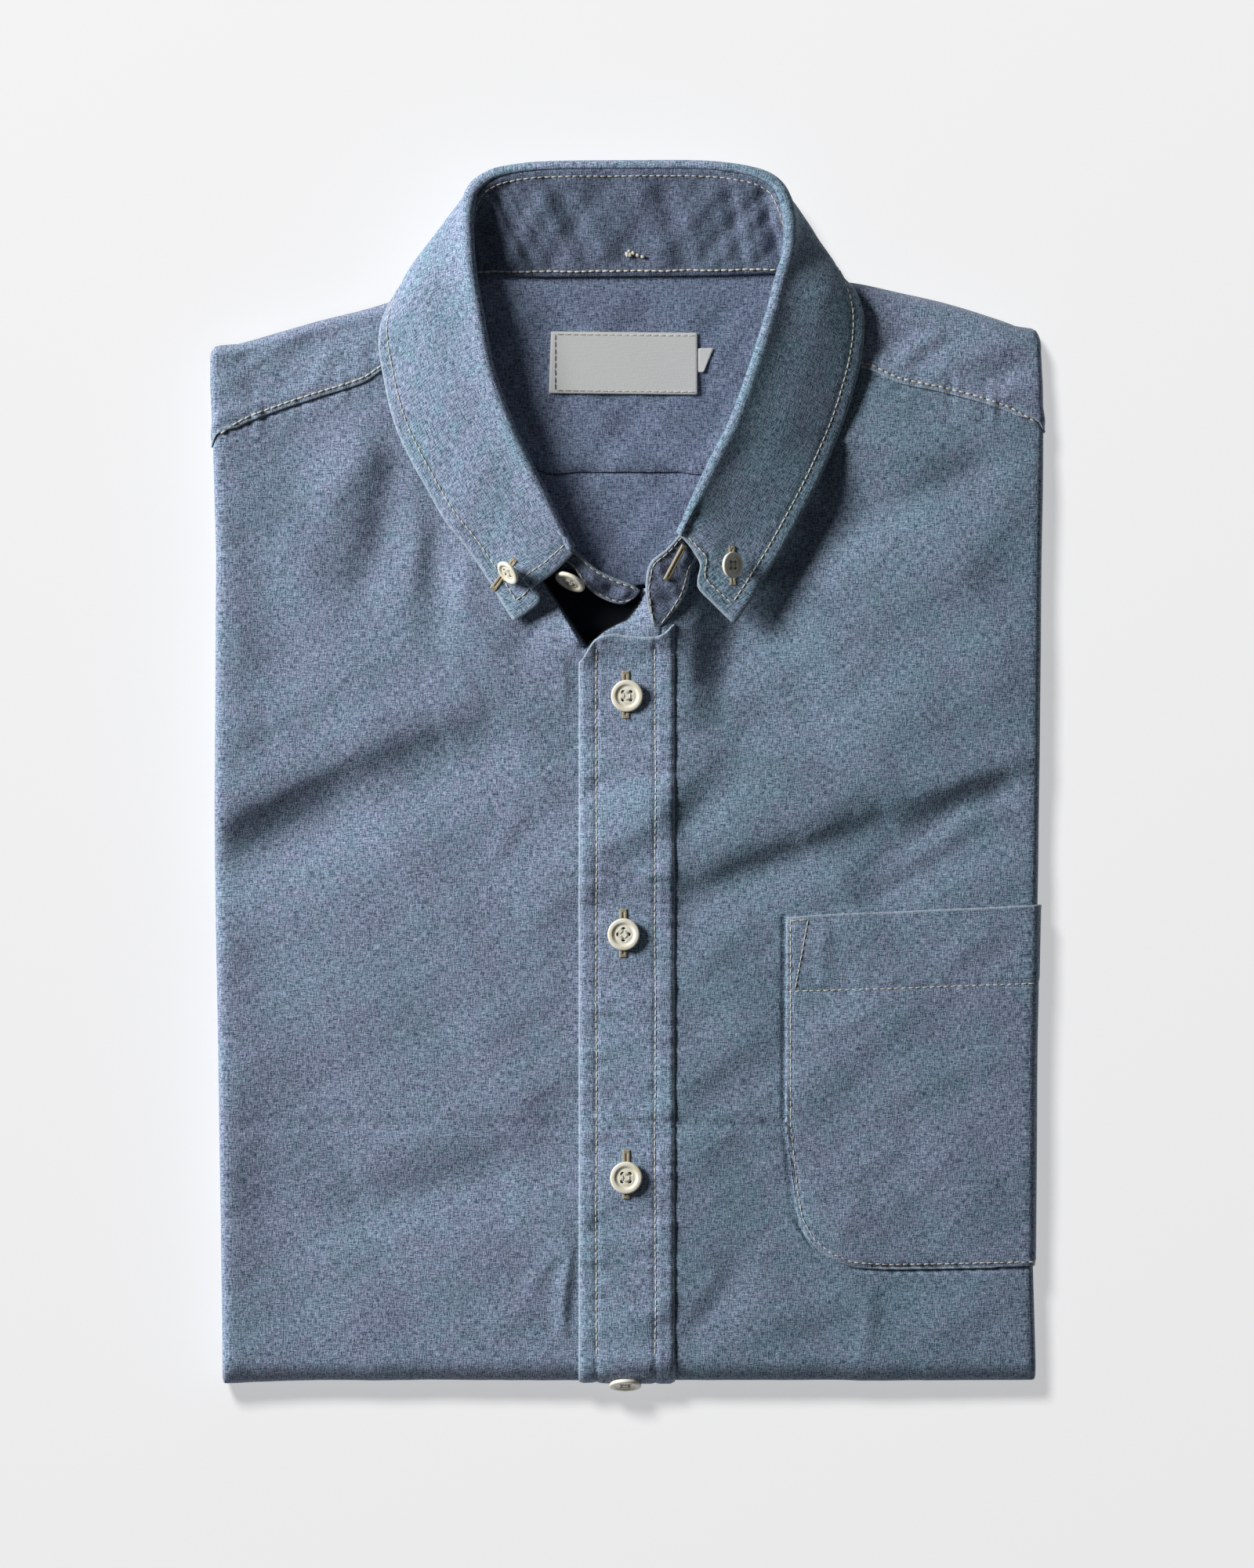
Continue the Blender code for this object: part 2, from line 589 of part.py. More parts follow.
def flat_patch(box, height, tilt):
    """A small patch on the inner yoke; it rises by tilt from left to right."""
    left, right, foot, top = box
    xs = np.linspace(left, right, 3)
    ys = np.linspace(foot, top, 3)
    rise = tilt * (xs - left) / (right - left)
    return np.array([[(x, y, height + up) for x, up in zip(xs, rise)] for y in ys])


def build():
    clear_scene()
    shirt = bpy.data.collections.new("folded_shirt")
    cutters = bpy.data.collections.new("cutters")
    for collection in (shirt, cutters):
        bpy.context.scene.collection.children.link(collection)

    rows, columns = line_rows(), all_columns()
    flat = [index for index, row in enumerate(rows) if row[0] == "flat"]
    at = {place: flat[line_places().index(place)] for place in (1, 2, 3, 4, 5, 6)}
    column_at = {column[2]: index for index, column in enumerate(columns) if not column[0]}
    skin = body_points(rows, columns)
    raised = body_points(rows, columns, ON_TOP)
    lap = column_at[12.3]
    seam = GAP / 2 + 0.05

    folded_core(shirt)
    front_right = skin[: at[4] + 1, : lap + 1]
    cloth_sheet("front_right", trimmed(front_right, top=seam, right=seam), shirt)
    front_left = skin[: at[4] + 1, lap:]
    cloth_sheet("front_left", trimmed(front_left, top=seam, left=seam), shirt)
    placket = raised[: at[3] + 1, column_at[-17.0] : column_at[17.0] + 1]
    cloth_sheet("placket", placket, shirt)
    pocket = raised[at[1] : at[2] + 1, column_at[57.5] :]
    cloth_sheet("pocket", pocket, shirt)
    yoke_right = skin[at[4] :, : column_at[-81.0] + 1]
    cloth_sheet("yoke_shoulder_right", trimmed(yoke_right, foot=seam), shirt)
    yoke_left = skin[at[4] :, column_at[81.0] :]
    cloth_sheet("yoke_shoulder_left", trimmed(yoke_left, foot=seam), shirt)
    yoke_inner = skin[at[5] : at[6] + 1, column_at[-68.0] : column_at[69.0] + 1]
    cloth_sheet("yoke_inner", trimmed(yoke_inner, foot=seam), shirt, colour=CHAMBRAY_INSIDE)
    back = skin[at[4] + 1 : at[5] + 1, column_at[-42.5] : column_at[44.0] + 1]
    cloth_sheet("back_inside", trimmed(back, top=seam), shirt, colour=CHAMBRAY_INSIDE)
    cloth_sheet("collar_stand", stand_points(), shirt, COLLAR_CLOTH, 0.0)
    cloth_sheet("collar_leaf", leaf_points(), shirt, COLLAR_CLOTH, 0.0)
    on_yoke = NECK_FLOOR + ON_TOP
    cloth_sheet("label", flat_patch(LABEL, on_yoke, 0.0), shirt, colour=OFF_WHITE)
    cloth_sheet("size_tab", flat_patch(SIZE_TAB, on_yoke, 1.2), shirt, colour=OFF_WHITE)
    shape = button_mesh(cutters)
    for row in BUTTONS:
        add_button(shape, shirt, *row)


build()
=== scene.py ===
"""Chambray button-down shirt, folded face up: cloth shells, stitching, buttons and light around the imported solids.

Sizes are in millimetres inside this file and are turned to metres where a mesh is made. +Z is up out of the shirt's
face, +Y is towards the collar and +X is towards the pocket. The body of the folded shirt is one skin over two
parameters, x across and place along, and every panel is a part of it, moved out by its layer."""

import json
import math

import bpy
import numpy as np
from mathutils import Matrix

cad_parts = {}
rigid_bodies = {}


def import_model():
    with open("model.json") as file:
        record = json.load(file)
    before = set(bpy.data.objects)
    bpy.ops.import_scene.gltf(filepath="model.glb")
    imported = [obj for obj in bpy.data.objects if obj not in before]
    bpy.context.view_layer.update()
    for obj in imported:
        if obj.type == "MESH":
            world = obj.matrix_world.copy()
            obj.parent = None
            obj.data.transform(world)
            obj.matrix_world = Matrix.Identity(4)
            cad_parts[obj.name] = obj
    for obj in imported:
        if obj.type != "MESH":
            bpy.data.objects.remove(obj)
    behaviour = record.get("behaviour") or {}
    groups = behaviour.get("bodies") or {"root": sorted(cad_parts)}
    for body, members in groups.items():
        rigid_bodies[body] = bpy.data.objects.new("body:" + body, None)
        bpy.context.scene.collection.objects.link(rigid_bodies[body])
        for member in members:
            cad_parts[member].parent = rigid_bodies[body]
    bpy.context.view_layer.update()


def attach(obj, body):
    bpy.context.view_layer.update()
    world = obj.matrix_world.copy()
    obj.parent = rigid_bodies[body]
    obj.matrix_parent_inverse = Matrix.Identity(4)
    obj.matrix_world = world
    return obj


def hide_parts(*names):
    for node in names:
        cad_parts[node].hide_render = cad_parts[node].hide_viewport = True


bl_info = {
    "name": "Folded chambray shirt",
    "version": (1, 0, 0),
    "blender": (4, 5, 0),
    "location": "3D View > Sidebar > Shirt",
    "description": "Builds a folded button-down shirt in chambray, piece by piece",
    "category": "Add Mesh",
}

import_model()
MM = 0.001

# The folded bundle, as in the solids.
BOTTOM_Y = -215.6
SIDE_ROUND = 0.26
SHOULDER_ROUND = 4.0
LOBE_SPLIT = 0.45
SIDE_FALL = 2.0
NECK_FLOOR = 9.5
NECK_FLOOR_BACK = 11.5
ON_TOP = 1.3
ROLL_RADIUS = 2.0
HOLLOW = 12.6  # depth of the hollow over the placket's top
IN_HOLLOW = -0.01  # a hollow deeper than this counts as one
NECK_RISE = 2.8  # of the fronts at the placket's top
LEFT_LIFT = 2.7  # of the left margin's curl
SIDE_X = 149.0
FLAT_X = 139.0  # past this the columns begin to go round the side folds
WRAP_X = 141.0
PROBE_X = 145.0  # where the height is read that gives a side fold its radius
HALF_HEIGHT = 8.3  # half the bundle's height at the bottom fold
WRAP_COLUMNS = 13
PAST_SIDE = 200.0  # a panel that ends here goes on round the side fold
FAR = 20.0  # distance from a sewn edge at which nothing is rubbed

# The lips of that hollow: y, left x, right x
HOLLOW_LIPS = np.array(
    [
        (44, -13.4, -15),
        (48, -15.4, -12.6),
        (52.2, -18.2, -7.4),
        (54.5, -19.7, -3),
        (56.4, -21, 1),
        (58.8, -22.6, 2.8),
        (60.6, -23.8, 3.9),
        (63.7, -26, 5.6),
        (70, -30, 7),
        (78, -34, 8),
    ]
)

# y, half the width between the two outer edges of the leaf
LEAF_COVER = np.array([(57, 42), (99, 66), (122, 79), (144, 85), (182, 88)])

# y, half the width between the two rolls of the collar
NECK_ROLL = np.array([(81.0, 20.0), (100.0, 29.0), (122.0, 40.5), (144.0, 48.0), (180.0, 55.0)])

# y, left edge, right edge
EDGE = np.array(
    [
        (-217, -144.5, 146.3),
        (-200, -144.6, 145.8),
        (-175, -144.9, 145.1),
        (-96, -146, 145.6),
        (-50, -146.9, 146.6),
        (-30, -147.3, 147),
        (20, -147, 147.6),
        (80, -146.8, 148.2),
        (100, -147.4, 148.6),
        (123, -148, 148.85),
        (140, -148.85, 148.6),
        (152, -148.85, 148),
    ]
)

# y, height of the top face along the middle
CROWN = np.array(
    [
        (-230, 16.4),
        (-208, 16.6),
        (-150, 18),
        (-50, 18.8),
        (40, 18.4),
        (100, 17),
        (140, 15.2),
        (175, 13.2),
        (190, 13),
    ]
)

# x, pocket foot, pocket top, placket top, front's top edge, back seam, shoulder
LINES = np.array(
    [
        (-149, -175, -46, 92, 118, 130, 148.5),
        (-139, -175, -46, 96, 125, 137, 151),
        (-125, -175, -46, 100, 130.9, 143, 155),
        (-110, -175, -46, 102, 135.9, 150, 159.3),
        (-95, -175, -46, 104, 140.7, 154, 163),
        (-81, -175, -46, 100, 147, 158, 167),
        (-68, -175, -46, 92, 133, 152, 170),
        (-55, -175, -46, 82, 110, 137, 172.5),
        (-42.5, -175, -46, 70, 90, 119, 173.5),
        (-30, -175, -46, 58, 74.5, 109.3, 174),
        (-17, -175, -46, 41, 75, 109.3, 174),
        (-11.5, -175, -46, 48.6, 68, 109.3, 174),
        (-6, -175, -46, 50.8, 64.5, 109.3, 174),
        (0, -175, -46, 50.2, 65.5, 109.3, 174),
        (6, -175, -46, 49.6, 67.5, 109.3, 174),
        (12.3, -175, -46, 50.5, 62.5, 109.3, 174),
        (17, -172, -47, 54.5, 66.5, 109.3, 174),
        (30, -166, -48.5, 68, 88, 109.3, 174.3),
        (44, -158, -49.5, 80, 105, 122, 174.6),
        (57.5, -153, -50, 90, 122, 140, 174.6),
        (69, -170, -49.2, 98, 137, 154, 174),
        (81, -175, -48.6, 104, 146, 159, 172.8),
        (98, -175.5, -48, 104, 140.7, 154, 169.2),
        (113, -175.4, -47.3, 102, 137.5, 151, 165.8),
        (128, -175, -46.7, 98, 133.5, 146, 161.3),
        (137.5, -174.7, -46.2, 96, 130, 142, 158),
        (149, -174.3, -45.5, 92, 123.3, 137, 152.9),
    ]
)
POCKET_TOP, PLACKET_TOP, FRONT_TOP, BACK_SEAM, SHOULDER = 2, 3, 4, 5, 6  # columns of LINES

# The largest folds, as in the solids: x0, y0, x1, y1, half width, rise
FOLDS = (
    (-150, -35, -52, 9, 12, -2.3),
    (-150, -10, -58, 31, 13, 1.2),
    (-84, 108, -93, 70, 8, -1.7),
    (-70, 104, -67, 54, 8, -1.5),
    (-100, 114, -112, 80, 10, 1.2),
    (150, 3, 24, -43, 10, -2.4),
    (106, 27, 30, -18, 12, 1),
    (150, -18, 74, -44, 8, -1.4),
    (45, 18, 23, -13, 8, -1.5),
    (81, 121, 140, 109, 12, 1.4),
    (82, 92, 124, 112, 10, -1.5),
    (-140, -150, -31, -134, 14, -1.3),
    (20, -198, 39, -176, 8, -1.4),
    (-23, 70, -3, 62, 9, -6.5),
)

# Finer creases, each a soft ridge drawn from its lower to its upper end.
CREASES = (
    # x0, y0, x1, y1, bow to the left, width on the left, width on the right, rise
    (-175, -34, -50, 25, 6, 15, 6, 1.3),
    (-66, 16, -8, 36, 2, 16, 13, 0.9),
    (-128, 22, -48, 58, 4, 22, 16, 0.8),
    (-47, -29, -36, -11, 1, 4, 3, 0.35),
    (-96, 72, -86, 120, 2, 8, 7, 0.8),
    (-76, 62, -70, 104, 1, 5, 4, 0.8),
    (-60, 58, -52, 90, 1, 5, 5, 0.5),
    (-110, 96, -84, 132, -3, 9, 7, 0.8),
    (-141, 0, -139, 84, 0, 4, 9, 0.7),
    (-142, -182, -139, -96, 1, 5, 9, 0.8),
    (-96, -148, -28, -122, 3, 14, 9, 0.8),
    (-142, -170, -84, -145, 2, 9, 7, 0.6),
    (-23, -200, -19.5, -166, 1, 3.2, 2.2, 0.9),
    (-36, -186, -20, -163, 1, 4, 3, 0.5),
    (-50, -198, -24, -186, 1, 5, 4, 0.35),
    (-38, -52, 52, 19, 2, 15, 8, 1.5),
    (14, -39, 156, 11, 2, 12, 4.5, 1),
    (92, -14, 160, 9, 1, 9, 9, 1.2),
    (64, -45, 130, -6, -6, 6, 5, 0.9),
    (86, 98, 144, 126, 2, 11, 7, 0.8),
    (28, 4, 104, 80, 3, 14, 11, 0.9),
    (66, 26, 92, 46, 1, 6, 5, 0.5),
    (58, -118, 114, -72, 3, 12, 8, 0.8),
    (69, -76, 71, -48, 0, 3, 3, 0.35),
    (14, -114, 56, -84, 1, 11, 7, 0.9),
    (20, -142, 46, -118, 2, 8, 6, 0.4),
    (16, -202, 34, -176, 1, 3, 4, 0.6),
    (38, -196, 92, -189, 2, 8, 6, 0.6),
    (84, -210, 87, -182, 0, 3, 3, 0.35),
    (104, -206, 132, -186, 2, 9, 7, 0.4),
    (95, 144, 114, 159, 2, 3, 3, 0.6),
    (104, 141, 138, 154, 2, 5, 4, 0.5),
    (120, 132, 146, 139, 1, 5, 4, 0.4),
    (-138, 140, -84, 171, 1, 4, 9, -0.8),
    (-112, 138, -104, 156, 1, 3, 3, 0.4),
    (-97, 141, -90, 160, 1, 3, 3, 0.45),
    (-130, 134, -122, 150, 1, 4, 3, 0.3),
    (-146, 142, -120, 160, 1, 4, 3, -0.7),
    (-84, 146, -80, 164, 0, 3, 3, 0.5),
    (84, 146, 100, 160, 1, 3, 4, -0.5),
    (126, 136, 146, 150, 1, 4, 3, -0.5),
    (-136, -96, -64, -70, 5, 18, 16, 0.5),
    (-60, -96, -22, -72, 2, 12, 8, 0.45),
    (-124, -62, -70, -44, 3, 14, 10, 0.4),
    (-40, -118, -18, -106, 1, 6, 4, 0.3),
    (34, 12, 54, 124, 1, 11, 42, -5.8),
    (30, 30, 30, 76, 0, 6, 9, -1.2),
    (80, -42, 142, -2, 3, 7, 14, -2),
    (60, -22, 96, 4, 2, 8, 9, 0.7),
    (-156, -44, -96, -8, 2, 9, 20, -1.2),
    (-160, 6, -104, 28, 2, 10, 9, 0.9),
    (-150, -164, -40, -146, 3, 9, 12, -1.4),
    (-104, 98, -46, 54, 3, 12, 10, -0.9),
    (-22, 34, 22, 34, 0, 10, 9, -1.3),
    (-120, 84, -60, 62, 4, 14, 12, -1.1),
    (-146, 60, -108, 96, 3, 14, 12, -0.9),
    (-40, 40, -24, 74, 0, 7, 6, -1),
    (62, -96, 92, -82, 1, 5, 4, 0.5),
    (84, -118, 132, -100, 2, 8, 6, 0.5),
    (64, -150, 100, -128, -2, 9, 7, 0.6),
    (100, -150, 140, -112, 3, 12, 8, 0.5),
    (74, -166, 84, -146, 0, 4, 4, 0.4),
    (110, -72, 134, -52, 1, 5, 4, 0.35),
    (22, -70, 48, -52, 1, 7, 5, 0.5),
    (24, -34, 60, -20, 2, 6, 5, 0.5),
    (60, 54, 96, 84, 2, 9, 6, 0.6),
    (118, 66, 140, 100, 2, 9, 7, 0.5),
    (112, -20, 146, -8, 1, 5, 4, 0.6),
    (118, 20, 148, 54, 2, 12, 10, 0.6),
    (96, 60, 142, 92, 3, 12, 9, 0.6),
    (110, -160, 146, -132, 2, 12, 9, 0.5),
    (78, -168, 104, -148, 2, 8, 7, 0.4),
)

# The collar, from the wearer's right front round the back of the neck to the left front, as in the solids.
COLLAR = np.array(
    [
        # roll x, y, z, heading, lean, mid x, y, z, edge x, y, z, neck x, y, z
        (-20.6, 81.3, 22, 215, -55, -29.5, 70.5, 21, -39.4, 57, 19.4, -24, 77.5, 17.8),
        (-24.6, 88.6, 23.5, 208, -58, -36, 78.5, 22.8, -46.6, 67.2, 18.8, -33, 84, 18.2),
        (-30.2, 99.9, 25, 203, -60, -44.5, 91.5, 24, -57, 82, 18.8, -43, 96, 18.6),
        (-36.3, 112, 26, 200, -61, -50.8, 102.5, 24.7, -64.5, 91.5, 18.6, -51, 107, 18.6),
        (-41.2, 122.3, 26.5, 198, -62, -56.5, 112.5, 25, -69, 99, 18.4, -58, 117, 18.4),
        (-49.2, 143.8, 27, 195, -62, -66, 134.5, 25.2, -81.2, 122.3, 17.8, -68, 137, 17.9),
        (-53.4, 165.2, 26.5, 187, -58, -72.5, 157, 23.6, -87, 144, 17, -71, 153, 17.2),
        (-55.9, 179.6, 25, 180, -50, -75, 173, 21.5, -87.9, 160, 16.3, -69, 165.5, 16.2),
        (-56.8, 190.8, 23, 175, -30, -76, 182, 15.5, -80.5, 174.6, 10.6, -64.5, 173.5, 15),
        (-56.9, 200.6, 21.5, 166, 0, -67.5, 194.2, 12.5, -66, 180.5, 5, -58, 178.6, 14.2),
        (-54.9, 209, 19.6, 148, 34, -56.8, 205.4, 10.5, -52, 181.6, 3.4, -50, 179.2, 13.6),
        (-49, 213.9, 18, 118, 60, -49.4, 209.6, 9.2, -41, 181.8, 2.8, -42.5, 179.2, 13.2),
        (-40.4, 216.2, 17, 98, 75, -38.4, 206, 8.2, -30, 181.8, 2.6, -34, 179, 13),
        (-26.4, 217.4, 16.3, 92, 80, -25.5, 205, 7.8, -19, 181.8, 2.5, -23, 179, 12.9),
        (0, 217.7, 16, 90, 80, 0, 205, 7.6, 0, 181.8, 2.5, 0, 179.2, 12.8),
        (26.4, 217.6, 16.3, 88, 80, 25.5, 205, 7.8, 19, 181.8, 2.5, 23, 179.4, 12.9),
        (42.8, 215.7, 17, 80, 75, 39.5, 206, 8.2, 31, 181.8, 2.6, 35, 179.6, 13),
        (51.8, 212.2, 18.3, 58, 58, 51.4, 208.4, 9.4, 42, 181.8, 2.8, 43.5, 180, 13.2),
        (56.2, 206, 20.6, 28, 28, 59.2, 202.6, 11, 53, 181.8, 3.6, 51, 180.2, 13.6),
        (58.2, 197, 22.2, 12, -6, 67.5, 192.6, 13, 64, 181.4, 5.4, 58.5, 179.4, 14.2),
        (57.6, 187, 23.8, 5, -34, 73.8, 182, 16.2, 76, 178.6, 10.6, 65, 175, 15),
        (55, 177.5, 25.2, 0, -50, 71.5, 172.5, 21.8, 83.8, 167.5, 16.3, 69, 166.5, 16.2),
        (51.4, 163.8, 26.6, -8, -58, 68, 158, 24.3, 83.4, 150, 17, 71, 153, 17.2),
        (45.6, 145.2, 27, -16, -62, 62.5, 137.5, 25.2, 77.6, 128.5, 17.9, 68, 137, 17.9),
        (38.8, 126.5, 26.6, -20, -62, 55.5, 118, 25, 71, 112, 18.4, 58, 119, 18.4),
        (31.7, 112.5, 25.9, -24, -61, 47, 103.5, 24.5, 62, 94, 18.7, 50, 108, 18.6),
        (25.8, 99.9, 24.8, -27, -60, 39, 89.5, 23.6, 53.4, 78.6, 18.8, 41, 95, 18.6),
        (21.4, 90, 23.4, -30, -58, 32, 78, 22.4, 45.4, 67, 18.8, 33, 84, 18.2),
        (19.6, 86.2, 22.5, -33, -55, 26.6, 71, 21.2, 37.9, 56.2, 19.4, 25, 78, 18.6),
    ]
)

# The ends of the stand past the leaf, outwards from it: upper edge x, y, z, neck edge x, y, z
STAND_END_RIGHT = np.array(
    [
        (-17, 79, 19.6, -19.5, 75.6, 18.6),
        (-11, 74, 18.6, -13.6, 67.6, 17.2),
        (-4.6, 70.8, 17.6, -7, 63.4, 16.2),
        (1.2, 68.6, 16.8, -1.5, 62.2, 15.9),
        (4.4, 66.6, 16.2, 2.8, 64.2, 15.9),
    ]
)
STAND_END_LEFT = np.array(
    [
        (14.2, 81, 21.6, 22.6, 74.6, 18.8),
        (8.6, 76.2, 21.2, 21.4, 67.8, 19),
        (7, 68.6, 20.8, 18.6, 61.8, 19.2),
        (7.8, 60.6, 20.6, 14.6, 57, 19.4),
        (9.6, 54.2, 20.2, 11.6, 53.8, 19.6),
    ]
)

# The leaf's two front edges from the roll to the tip: share of the way, x, y, z
LEAF_FRONT_RIGHT = np.array(
    [
        (0, -18.6, 80.6, 22.6),
        (0.35, -26.6, 72.9, 22),
        (0.62, -33.6, 66.6, 21.6),
        (0.70, -31.6, 65.4, 20.4),
        (0.80, -31.5, 62.6, 19.8),
        (0.90, -35.6, 59, 19.3),
        (1, -40.2, 55.9, 19.2),
    ]
)
LEAF_FRONT_LEFT = np.array(
    [
        (0, 17.9, 87.4, 22.4),
        (0.15, 21.6, 83.6, 22.5),
        (0.32, 24.4, 79.6, 22.2),
        (0.48, 26.3, 75.6, 21.6),
        (0.60, 25.4, 71, 21),
        (0.68, 25.5, 67.9, 20.6),
        (0.80, 31, 62, 19.8),
        (0.90, 34.6, 58.4, 19.4),
        (1, 38.1, 55, 19.2),
    ]
)
LEAF_ACROSS = (9, 16, 16)  # rows of the roll, of the fall's upper part and of its lower part
LEAF_STATIONS = np.linspace(0, len(COLLAR) - 1, 300)
LEAF_STITCH = 4.5  # from the edge to the topstitching
LEAF_SIDE = -1.0  # the leaf's outer face is on this side of its grid
STAND_SIDE = 1.0  # and the stand's outer face on this side
STAND_STATIONS = 215
STAND_END_ROWS = 33
STAND_ACROSS = 26

# name, small (on a collar point), x, y, z (None: on the placket), tilt, heading that the face leans to, turn
BUTTONS = (
    ("placket_button_1", False, 0.0, 29.0, None, 0, 0, 0),
    ("placket_button_2", False, -1.2, -56.0, None, 0, 0, 45),
    ("placket_button_3", False, -0.3, -142.7, None, 0, 0, 0),
    ("placket_button_4", False, -0.6, -217.5, 12.2, 70, 270, 0),
    ("stand_button", False, -20.4, 69.4, 18.9, 67, 243, 0),
    ("collar_button_right", True, -42.6, 72.6, 25.4, 60, 220, 0),
    ("collar_button_left", True, 37.8, 75.5, 25.8, 42, 0, 0),
)

FULL_BUTTON = 11.5  # the diameter that a button's profile is drawn for
BUTTON_SIDES = 88
BUTTON_RIM = 0.62
STITCH_SIDES = 6
HOLE_AT = 1.32  # of a button's four holes, both ways from its middle

# x, y, length of the placket's buttonholes, and x, y, turn, length of the collar's two
PLACKET_HOLES = ((-0.4, 29.4, 17.6), (-1.3, -55.6, 18.0), (-0.2, -141.6, 18.2))
COLLAR_HOLES = ((-43.9, 72.4, -36.0, 14.0), (37.6, 75.3, 2.0, 14.5))
STAND_HOLE = np.array([(20.6, 82.6, 23.2), (13.9, 70.0, 21.6)])  # its two ends
HOLE_FACING = (0.35, -0.2, 1.0)

# The knot of thread on the stand over the label, and its tail: x, y
KNOT = np.array([(-0.6, 187.4), (0.9, 186.0), (1.6, 187.2), (0.2, 185.8), (0.6, 188.0), (3.2, 186.6), (6.4, 185.6)])

# name, left, right, foot, top, rise to the right
TAPES = (
    ("label", -27.0, 25.0, 137.4, 159.2, 0.0),
    ("size_tab", 25.6, 30.8, 144.9, 153.2, 0.3),
)

CORNER = 5.0  # radius of a hidden layer's lower corners
LAYER_SPAN = 300.0  # what a hidden layer's rounding is taken against at its ends
LAYER_LENGTH = 360.0

# The three hidden folded layers: bottom, top, inset, seed of the waves, y of the lower end
HIDDEN_LAYERS = ((0.0, 2.5, 2.2, 71, -207.0), (2.5, 4.9, 3.6, 75, -208.5), (4.9, 7.3, 2.6, 79, -208.0))

# The pocket's lower outline: x, y
POCKET_FOOT = np.array(
    [
        (56.9, -124),
        (57.9, -133.4),
        (59.4, -147.7),
        (61.3, -158),
        (65.5, -165.6),
        (72.2, -171.2),
        (80.6, -174.6),
        (93, -175.3),
        (110, -175.1),
        (149, -174.3),
    ]
)
POCKET_SIDE = 56.9
POCKET_HEM = np.array([(56.0, -76.4), (97.7, -75.2), (149.0, -73.4)])
PLACKET_HALF = 17.0
PLACKET_WALL = 0.8
PLACKET_STITCH_LEFT = -10.9
PLACKET_STITCH_RIGHT = 10.1
LAP_X = 12.3  # where the two fronts meet under the placket
LESS_FADED_AND_PAINTED_SHADE = 0.13  # a guess: share by which the wearer's left side is darkened, partly less-faded cloth and partly painted shade

# Places of rows that lie closer: under the collar, below the pocket's foot, over its top, and at the fronts' top edge
CLOSER_PLACES = np.concatenate(
    [np.linspace(2.8, 4.0, 50), np.linspace(0.84, 1.0, 12), 2 + np.arange(7) / 280, np.linspace(3.6, 4.0, 24)]
)

# What greens the two yarns, as a share of each colour
GREEN_WARP = (0.62, 1.02, 0.87)
GREEN_WEFT = (0.80, 1.02, 0.94)

FLOOR_HALF = 3000.0
INSIDE_PIECES = ("yoke_inner_cloth", "back_inside_cloth", "label_tape", "size_tab_tape")


# ---------------------------------------------------------------- sizes, colours and light that a user may change


def length_of(name, description, default, precision=4):
    return bpy.props.FloatProperty(
        name=name, description=description, default=default, unit="LENGTH", precision=precision
    )


def colour_of(name, description, default):
    return bpy.props.FloatVectorProperty(
        name=name, description=description, subtype="COLOR", size=3, min=0, max=1, default=default
    )


def number_of(name, description, default):
    return bpy.props.FloatProperty(name=name, description=description, default=default)


class ShirtSizes(bpy.types.PropertyGroup):
    """The thicknesses and steps of the cloth, the thread and the buttons"""

    cloth: length_of("Cloth", "Thickness of a single cloth", 0.0006)
    band: length_of("Band", "Thickness of the stiffened cloth of the collar", 0.0011)
    mesh_step: length_of("Mesh step", "Distance between points of a panel", 0.0015)
    crease: bpy.props.FloatProperty(
        name="Crease depth", description="Share of the finer creases' rise", default=1.4, subtype="FACTOR"
    )
    pucker: length_of("Pucker", "Rise of the puckers along a seam", 0.00034, 5)
    stitch: length_of("Stitch", "Length from one stitch to the next", 0.0025)
    thread: length_of("Thread", "Thickness of the sewing thread", 0.00044, 5)
    button: length_of("Button", "Diameter of a placket button", 0.0115)
    collar_button: length_of("Collar button", "Diameter of a collar button", 0.0095)


class ShirtColours(bpy.types.PropertyGroup):
    """The colours of the yarns, the threads, the buttons and the label"""

    warp: colour_of("Warp", "Blue yarn", (0.040, 0.066, 0.112))
    weft: colour_of("Weft", "Pale yarn", (0.400, 0.442, 0.604))
    warp_inside: colour_of("Warp, inside", "Blue yarn inside", (0.050, 0.072, 0.130))
    weft_inside: colour_of("Weft, inside", "Pale yarn inside", (0.420, 0.490, 0.700))
    worn: colour_of("Worn edge", "Cloth rubbed pale", (0.37, 0.45, 0.50))
    thread: colour_of("Thread", "Topstitching thread", (0.58, 0.56, 0.49))
    hole_thread: colour_of("Buttonhole thread", "Buttonhole thread", (0.38, 0.33, 0.23))
    button: colour_of("Button", "Ivory of the buttons", (0.80, 0.78, 0.69))
    label: colour_of("Label", "Tape of the label", (0.80, 0.805, 0.80))


class ShirtStage(bpy.types.PropertyGroup):
    """The camera, the floor and the lights"""

    lens: number_of("Lens", "Focal length in millimetres of a 36 mm sensor", 220.0)
    view_width: length_of("View width", "Width that the picture shows", 0.448)
    floor: colour_of("Floor", "Colour of the floor", (0.80, 0.80, 0.80))
    glow: number_of("Floor glow", "Light that the floor gives off", 0.455)
    key: number_of("Key light", "Power in watts", 248.0)
    top: number_of("Top light", "Power in watts, on the floor", 140.0)
    neck: number_of("Neck light", "Power in watts, inside the neck", 118.0)
    fill: number_of("Fill", "Strength of the surrounding light", 0.075)


# ---------------------------------------------------------------- curves and the folded skin


def smoothstep(value):
    """0 below 0, 1 above 1, and 3v² - 2v³ between."""
    value = np.clip(value, 0.0, 1.0)
    return value * value * (3 - 2 * value)


def cubic(start, end, start_slope, end_slope, u):
    """A cubic from start to end, where u is 0 and 1, with given slopes."""
    return (
        (2 * u**3 - 3 * u**2 + 1) * start
        + (u**3 - 2 * u**2 + u) * start_slope
        + (3 * u**2 - 2 * u**3) * end
        + (u**3 - u**2) * end_slope
    )


